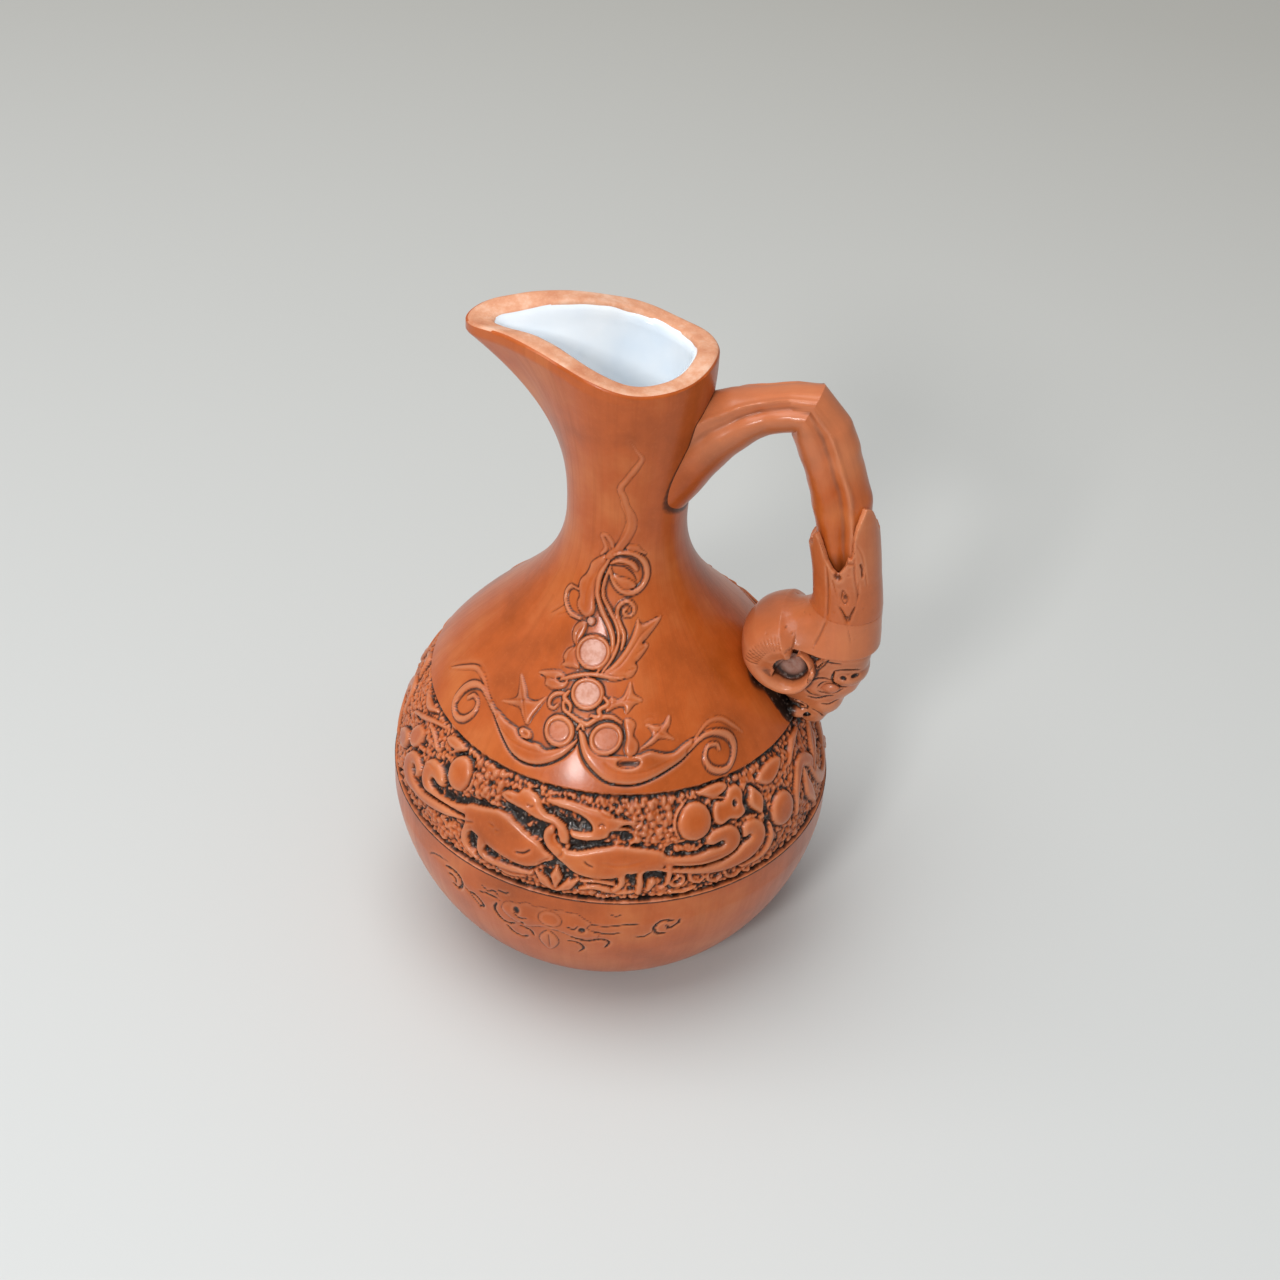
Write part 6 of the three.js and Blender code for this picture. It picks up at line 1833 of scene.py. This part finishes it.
@dataclass
class Bowl:
    """Lower belly with the flat foot and the small group under the frieze."""

    steps: int = 640
    top: float = 60.4
    widest: float = 70.42

    def build(self, vignette: Board) -> bpy.types.Object:
        """Builds the bowl as a closed shell and returns it."""
        form = FORM
        length = np.linspace(up(0.6), up(self.top), 118)
        heights = np.interp(length, LENGTHS, HEIGHTS)
        outside = [(form.radius(h), h) for h in heights]
        inside_h = np.linspace(self.top, 12, 9)
        inside = [(form.radius(h) - form.wall, h) for h in inside_h]
        foot = [(0.0, 0.35), (18, 0.35), (33.5, 0.35), (35.4, 0.0), (36.6, 0.1)]
        profile = [*foot, *outside, *inside, (34, 8.2), (0.0, 8)]
        loop = np.array(profile)
        body, turn, down = ball_start(self.steps, len(loop) - 1)
        angle = closer(turn * 2 * np.pi / self.steps, 0.22)
        ring = loop[down]
        lift = np.zeros(len(turn))
        first, last = 5, 5 + len(outside)
        shown = (down >= first) & (down < last)
        x = half_turn(angle) * form.belly_radius
        on_front = np.cos(angle + np.pi / 2) > 0
        lift[shown] = vignette.sample(vignette.height, x, ring[:, 1])[shown]
        recess = np.where(shown, vignette.sample(vignette.recess, x, ring[:, 1]), 0)
        worn_and_lit = np.where(shown, vignette.sample(vignette.worn_and_lit, x, ring[:, 1]), 0)
        lift = np.where(on_front, lift, 0)
        recess = np.where(on_front, recess, 0)
        worn_and_lit = np.where(on_front, worn_and_lit, 0)
        # Top edge darker under the frieze's border groove: painted shade with staining
        groove = np.clip((ring[:, 1] - (self.top - 0.7)) / 0.7, 0, 1) * shown
        recess = np.maximum(recess, groove * 0.8)
        slope = np.gradient(form.radius(HEIGHTS), HEIGHTS)
        dr = np.interp(ring[:, 1], HEIGHTS, slope)
        size = np.hypot(1, dr)
        radius = np.minimum(ring[:, 0] + lift / size, self.widest)
        height = ring[:, 1] - lift * dr / size
        coords = np.stack([radius * np.cos(angle), radius * np.sin(angle), height], -1)
        piece = placed("bowl", coords, body)
        keep(piece, "recess", recess)
        keep(piece, "worn_and_lit", worn_and_lit)
        keep(piece, "pale", np.zeros(len(turn)))
        keep_wrap(piece, angle, 60.0, height)
        return piece


@dataclass
class CarvedRing:
    """Part of the turned wall between two heights, with its carving laid on."""

    name: str
    low: float
    high: float
    steps: int
    rows: int
    even_radius: float | None = None

    def build(self, board: Board) -> bpy.types.Object:
        """Builds the ring as a closed shell.

        Args:
            board: the carving, in x round the wall and height or length up the skin.

        Returns:
            The ring.
        """
        form = FORM
        length = edged(np.linspace(up(self.low), up(self.high), self.rows))
        heights = np.interp(length, LENGTHS, HEIGHTS)
        outer = np.stack([form.radius(heights), heights], -1)
        inner_h = np.linspace(self.high, self.low, 7)
        inner = np.stack([form.radius(inner_h) - form.wall * 1.1, inner_h], -1)
        loop = np.vstack([outer, inner])
        body, turn, point = ring_start(self.steps, len(loop))
        angle = closer(turn * 2 * np.pi / self.steps, 0.1 if self.even_radius else 0.22)
        ring = loop[point]
        shown = point < len(outer)
        radius_here = self.even_radius or form.radius(ring[:, 1])
        x = half_turn(angle) * radius_here
        y = ring[:, 1] if self.even_radius else np.interp(ring[:, 1], HEIGHTS, LENGTHS)
        lift = np.where(shown, board.sample(board.height, x, y), 0)
        slope = np.interp(ring[:, 1], HEIGHTS, np.gradient(form.radius(HEIGHTS), HEIGHTS))
        size = np.hypot(1, slope)
        radius = ring[:, 0] + lift / size
        height = ring[:, 1] - lift * slope / size
        coords = np.stack([radius * np.cos(angle), radius * np.sin(angle), height], -1)
        piece = placed(self.name, coords, body, 75.0)
        for key in ("worn_and_lit", "pale"):
            keep(piece, key, np.where(shown, board.sample(getattr(board, key), x, y), 0))
        stain_and_shade = np.where(shown, board.sample(board.recess, x, y), 0)
        near_head = (coords[:, 0] > 30) & (np.abs(coords[:, 1]) < 20) & (coords[:, 2] > 88)
        if near_head.any():
            # Painted shade, with staining, in the crevice under the head
            gap = RamForm().solid(coords[near_head])
            width = np.interp(coords[near_head, 2], (94, 100, 106, 111, 114), (2.6, 5.2, 2.8, 1.3, 0.2))
            facing = ease((coords[near_head, 0] - 38) / 3)
            stain_and_shade[near_head] = np.maximum(stain_and_shade[near_head], ease((width - gap) / 1.0) * facing)
        keep(piece, "recess", stain_and_shade)
        keep_wrap(piece, angle, 60.0, height)
        return piece


@dataclass
class Neck:
    """Neck with the flaring mouth and the pouring lip, and the tendril of the spray."""

    steps: int = 420
    low: float = 133.0
    neck_rows: int = 46
    mouth_rows: int = 92

    def grid(self) -> tuple[Array, Array, Array, Array]:
        """Points of the neck by section, with its rim rows, angles and shown rows."""
        form = FORM
        turn = np.arange(self.steps) * 2 * np.pi / self.steps
        angle = (turn + 0.35 * np.sin(turn))[:, None]
        rows = []
        for height in edged(np.linspace(self.low, form.throat_height, self.neck_rows))[:-1]:
            rows.append((np.full_like(angle, form.radius(height)), np.full_like(angle, height)))
        rim = form.rim(angle)
        for rise in np.linspace(0, 1, self.mouth_rows + 1)[1:]:
            height = form.throat_height + rise * (rim - 1.3 - form.throat_height)
            rows.append((form.skin(angle, height), height))
        outer_rows = len(rows)
        edge = form.mouth(angle)
        bore = form.bore(angle, 0.0)
        wide = edge - bore
        # Rim: rounded outer corner, a face that dips slightly, and a soft inner corner
        for share, drop in ((0.02, 0.75), (0.07, 0.3), (0.15, 0.06), (0.26, 0.0), (0.4, 0.12), (0.55, 0.2),
                            (0.7, 0.2), (0.82, 0.3), (0.91, 0.6), (0.97, 1.1), (1.0, 1.9)):
            rows.append((edge - wide * share, rim - drop))
        rim_rows = len(rows)
        for rise in (0.9, 0.75, 0.6, 0.4, 0.2, 0.0):
            height = form.throat_height + rise * (rim - form.throat_height)
            rows.append((form.inner(angle, np.full_like(angle, rise), -0.3), height))
        for height in (146.0, self.low):
            rows.append((np.full_like(angle, form.radius(height) - form.wall), np.full_like(angle, height)))
        radius = np.hstack([r for r, _ in rows])
        height = np.hstack([h for _, h in rows])
        points = np.stack([radius * np.cos(angle), radius * np.sin(angle), height], -1)
        kind = np.arange(len(rows))
        shown = np.where(kind < outer_rows, 1, np.where(kind < rim_rows, 2, 0))
        return points, np.broadcast_to(angle, radius.shape), height, shown

    def arm_seam(self, points: Array, arm: Array) -> Array:
        """Darkening where the handle's arm meets the neck, from the places of the arm's vertices."""
        stain_and_shade = np.zeros(points.shape[:-1])
        there = (points[..., 0] > 6) & (np.abs(points[..., 1]) < 17) & (points[..., 2] > 152) & (points[..., 2] < 205)
        arm = arm[arm[:, 0] < 32]
        gap = np.concatenate([np.sqrt(((some[:, None] - arm[None]) ** 2).sum(-1)).min(1)
                              for some in np.array_split(points[there], 24)])
        stain_and_shade[there] = ease((1.15 - gap) / 0.9) * 0.72
        return stain_and_shade

    def build(self, board: Board, finishes: Finishes, arm: Array) -> bpy.types.Object:
        """Builds the neck with its rim.

        Args:
            board: the carving of the spray, whose tendril climbs the neck.
            finishes: the materials.
            arm: places of the handle's vertices in millimetres.

        Returns:
            The neck.
        """
        points, angle, height, shown = self.grid()
        normal = grid_normals(points, closed_rows=True)
        radius = np.hypot(points[..., 0], points[..., 1])
        x = half_turn(angle) * radius
        y = np.interp(height, HEIGHTS, LENGTHS)
        outside = (shown == 1)[None, :]
        fits = outside & (y < board.high - 1)
        lift = np.where(fits, board.sample(board.height, x, y), 0)
        # Slight unevenness of a rim shaped by hand
        wobble = 0.22 * np.sin(3 * angle + 0.6) + 0.16 * np.sin(7 * angle + 2.1)
        points = points + normal * lift[..., None]
        points[..., 2] += np.where((shown == 2)[None, :], wobble - 0.33, 0)
        body, turn, point = ring_start(self.steps, points.shape[1])
        piece = placed("neck", points[turn, point], body, 50.0)
        for key in ("recess", "worn_and_lit", "pale"):
            values = np.where(fits, board.sample(getattr(board, key), x, y), 0)
            if key == "recess":
                values = np.maximum(values, self.arm_seam(points, arm) * outside)
            keep(piece, key, values[turn, point])
        keep_wrap(piece, angle[turn, point], 40.0, height[turn, point])
        piece.data.materials.append(finishes.clay)
        piece.data.materials.append(finishes.rim)
        centres = np.empty(len(piece.data.polygons) * 3, np.float32)
        piece.data.polygons.foreach_get("center", centres)
        centres = centres.reshape(-1, 3) / METRE
        around = np.arctan2(centres[:, 1], centres[:, 0])
        inward = FORM.mouth(around) - np.hypot(centres[:, 0], centres[:, 1])
        on_rim = (inward > 0.5) & (centres[:, 2] > FORM.rim(around) - 2.6)
        piece.data.polygons.foreach_set("material_index", on_rim.astype(np.int32))
        return piece


@dataclass
class Lining:
    """White glaze over the inside, from the floor to just under the rim's face."""

    steps: int = 240

    def build(self) -> bpy.types.Object:
        """Builds the coat as a closed shell and returns it."""
        form = FORM
        turn = np.arange(self.steps) * 2 * np.pi / self.steps
        angle = (turn + 0.35 * np.sin(turn))[:, None]
        rim = form.rim(angle)
        wave = 0.5 * np.sin(5 * angle + 1.0) + 0.35 * np.sin(9 * angle) + 0.25 * np.sin(17 * angle + 2)
        sides = []
        for skin, coat in ((0, 0.35), (1, 1.3)):
            rows = []
            for height in (10.0, 19, 34, 55, 76, 95, 111, 122, 133, 146):
                reach = form.radius(height) - form.wall * 1.12 - coat
                rows.append((np.full_like(angle, reach), np.full_like(angle, height)))
            for rise in np.linspace(0, 0.95, 26):
                height = form.throat_height + rise * (rim - form.throat_height)
                reach = form.inner(angle, np.full_like(angle, rise), coat - 0.3)
                rows.append((reach, height))
            top = form.bore(angle, 0.0)
            if skin == 0:
                rows.append((top + 0.5, rim - 1.3 + 0.3 * wave))
            else:
                rows.append((top - 0.3, rim - 2.0 + 0.3 * wave))
            floor = rows[0][0] - 6
            rows.insert(0, (floor, np.full_like(angle, 7.6 + skin)))
            rows.insert(0, (floor * 0.02, np.full_like(angle, 7.5 + skin)))
            sides.append(rows)
        rows = sides[0] + sides[1][::-1]
        radius = np.hstack([r for r, _ in rows])
        height = np.hstack([h for _, h in rows])
        points = np.stack([radius * np.cos(angle), radius * np.sin(angle), height], -1)
        body, index, point = ring_start(self.steps, points.shape[1])
        return placed("glaze_coat", points[index, point], body, 60.0)


# Studio


@dataclass
class Studio:
    """Camera, floor and soft lamps."""

    camera_place: tuple[float, float, float] = (110.67, -479.36, 493.47)
    forward: tuple[float, float, float] = (-0.16636, 0.76789, -0.6186)
    right: tuple[float, float, float] = (0.96509, 0.25551, 0.05764)
    upward: tuple[float, float, float] = (-0.20232, 0.58742, 0.78359)
    lens: float = 56.25

    def build(self) -> None:
        """Sets up the whole studio."""
        self.add_camera()
        self.add_floor()
        self.add_lamps()
        self.set_world()

    def add_camera(self) -> None:
        """Adds the camera at the photograph's place."""
        data = bpy.data.cameras.new("camera")
        data.lens = self.lens
        data.sensor_width = 36.0
        data.clip_start = 0.01
        data.clip_end = 20.0
        camera = bpy.data.objects.new("camera", data)
        bpy.context.scene.collection.objects.link(camera)
        rows = [Vector(self.right), Vector(self.upward), -Vector(self.forward)]
        turn = Matrix(rows).transposed().to_4x4()
        camera.matrix_world = Matrix.Translation(Vector(self.camera_place) * METRE) @ turn
        bpy.context.scene.camera = camera

    def add_floor(self) -> None:
        """Adds the floor."""
        deselect()
        bpy.ops.mesh.primitive_plane_add(size=12.0, location=(0, 0, 0))
        floor = bpy.context.object
        floor.name = "floor"
        floor.data.materials.append(PaleCloth().make())

    def add_lamps(self) -> None:
        """Adds the soft lamps."""
        for name, place, aim, size, power in (
            ("window", (-0.19, -1.36, 0.97), (0, 0, 0.1), 0.24, 11.0),
            ("overhead", (-0.35, -0.2, 2.0), (0, 0, 0.1), 1.8, 32.0),
            ("side", (-1.8, -0.4, 1.0), (0, 0, 0.1), 1.2, 1.5),
        ):
            data = bpy.data.lights.new(name, "AREA")
            data.shape = "SQUARE"
            data.size = size
            data.energy = power
            lamp = bpy.data.objects.new(name, data)
            bpy.context.scene.collection.objects.link(lamp)
            lamp.location = place
            way = Vector(aim) - Vector(place)
            lamp.rotation_euler = way.to_track_quat("-Z", "Y").to_euler()

    def set_world(self) -> None:
        """Sets an even pale sky."""
        world = bpy.data.worlds.new("sky")
        bpy.context.scene.world = world
        world.use_nodes = True
        tree = world.node_tree
        tree.nodes.clear()
        light = add_node(tree, "ShaderNodeBackground", inputs={"Color": hue("#e8ecf0"), "Strength": 0.36})
        add_node(tree, "ShaderNodeOutputWorld", inputs={"Surface": light.outputs[0]})


def dress_hidden(finishes: Finishes) -> None:
    """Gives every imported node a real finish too."""
    for name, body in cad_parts.items():
        body.data.materials.clear()
        body.data.materials.append(finishes.glaze if name == "glaze_lining" else finishes.clay)


def main() -> None:
    """Builds the jug piece by piece and sets up the studio."""
    logging.basicConfig(level=logging.INFO, format="%(name)s %(message)s")
    finishes = Finishes()
    dress_hidden(finishes)
    frieze = FriezeCarving().carve()
    spray = SprayCarving().carve()
    vignette = VignetteCarving().carve()
    LOG.info("carving boards ready")
    settle(Bowl().build(vignette), finishes.clay, ["belly"])
    ring = CarvedRing("frieze_ring", 60.4, 94.4, 980, 92, even_radius=67.0).build(frieze)
    settle(ring, finishes.clay, both(
        "stag_left", "stag_right", "stag_head_left", "stag_head_right", "leaf_band_left", "leaf_band_right",
        "pomegranate_left", "pomegranate_right", "pomegranate_far", "grapes_left", "grapes_right", "lotus",
        "vine_far"))
    shoulder = CarvedRing("shoulder", 94.4, 133.0, 780, 112).build(spray)
    settle(shoulder, finishes.clay, both(
        "volute", "leaf_left", "leaf_right", "disc_upper", "leafy_disc", "lily", "blossom", "scroll_left",
        "roundel_left", "scroll_right", "roundel_right"))
    handle = Handle().build()
    settle(handle, finishes.clay, ["handle"])
    neck = Neck().build(spray, finishes, places(handle) / METRE)
    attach(neck, "root")
    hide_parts("neck_spout", *both("tendril"))
    settle(Lining().build(), finishes.glaze, ["glaze_lining"])
    head = RamHead()
    head.carving.carve()
    settle(head.piece("leaf_cuff_shell", False), finishes.clay, ["leaf_cuff"])
    settle(head.piece("ram_skull", True), finishes.clay, ["ram_head", "ram_horn_near", "ram_horn_far"])
    for name, side in (("near", -1), ("far", 1)):
        settle(Eye(f"eye_{name}", side).build(), finishes.clay, [f"ram_eye_{name}"])
    Studio().build()
    bpy.context.scene.view_settings.view_transform = "Standard"


if __name__ == "__main__":
    main()
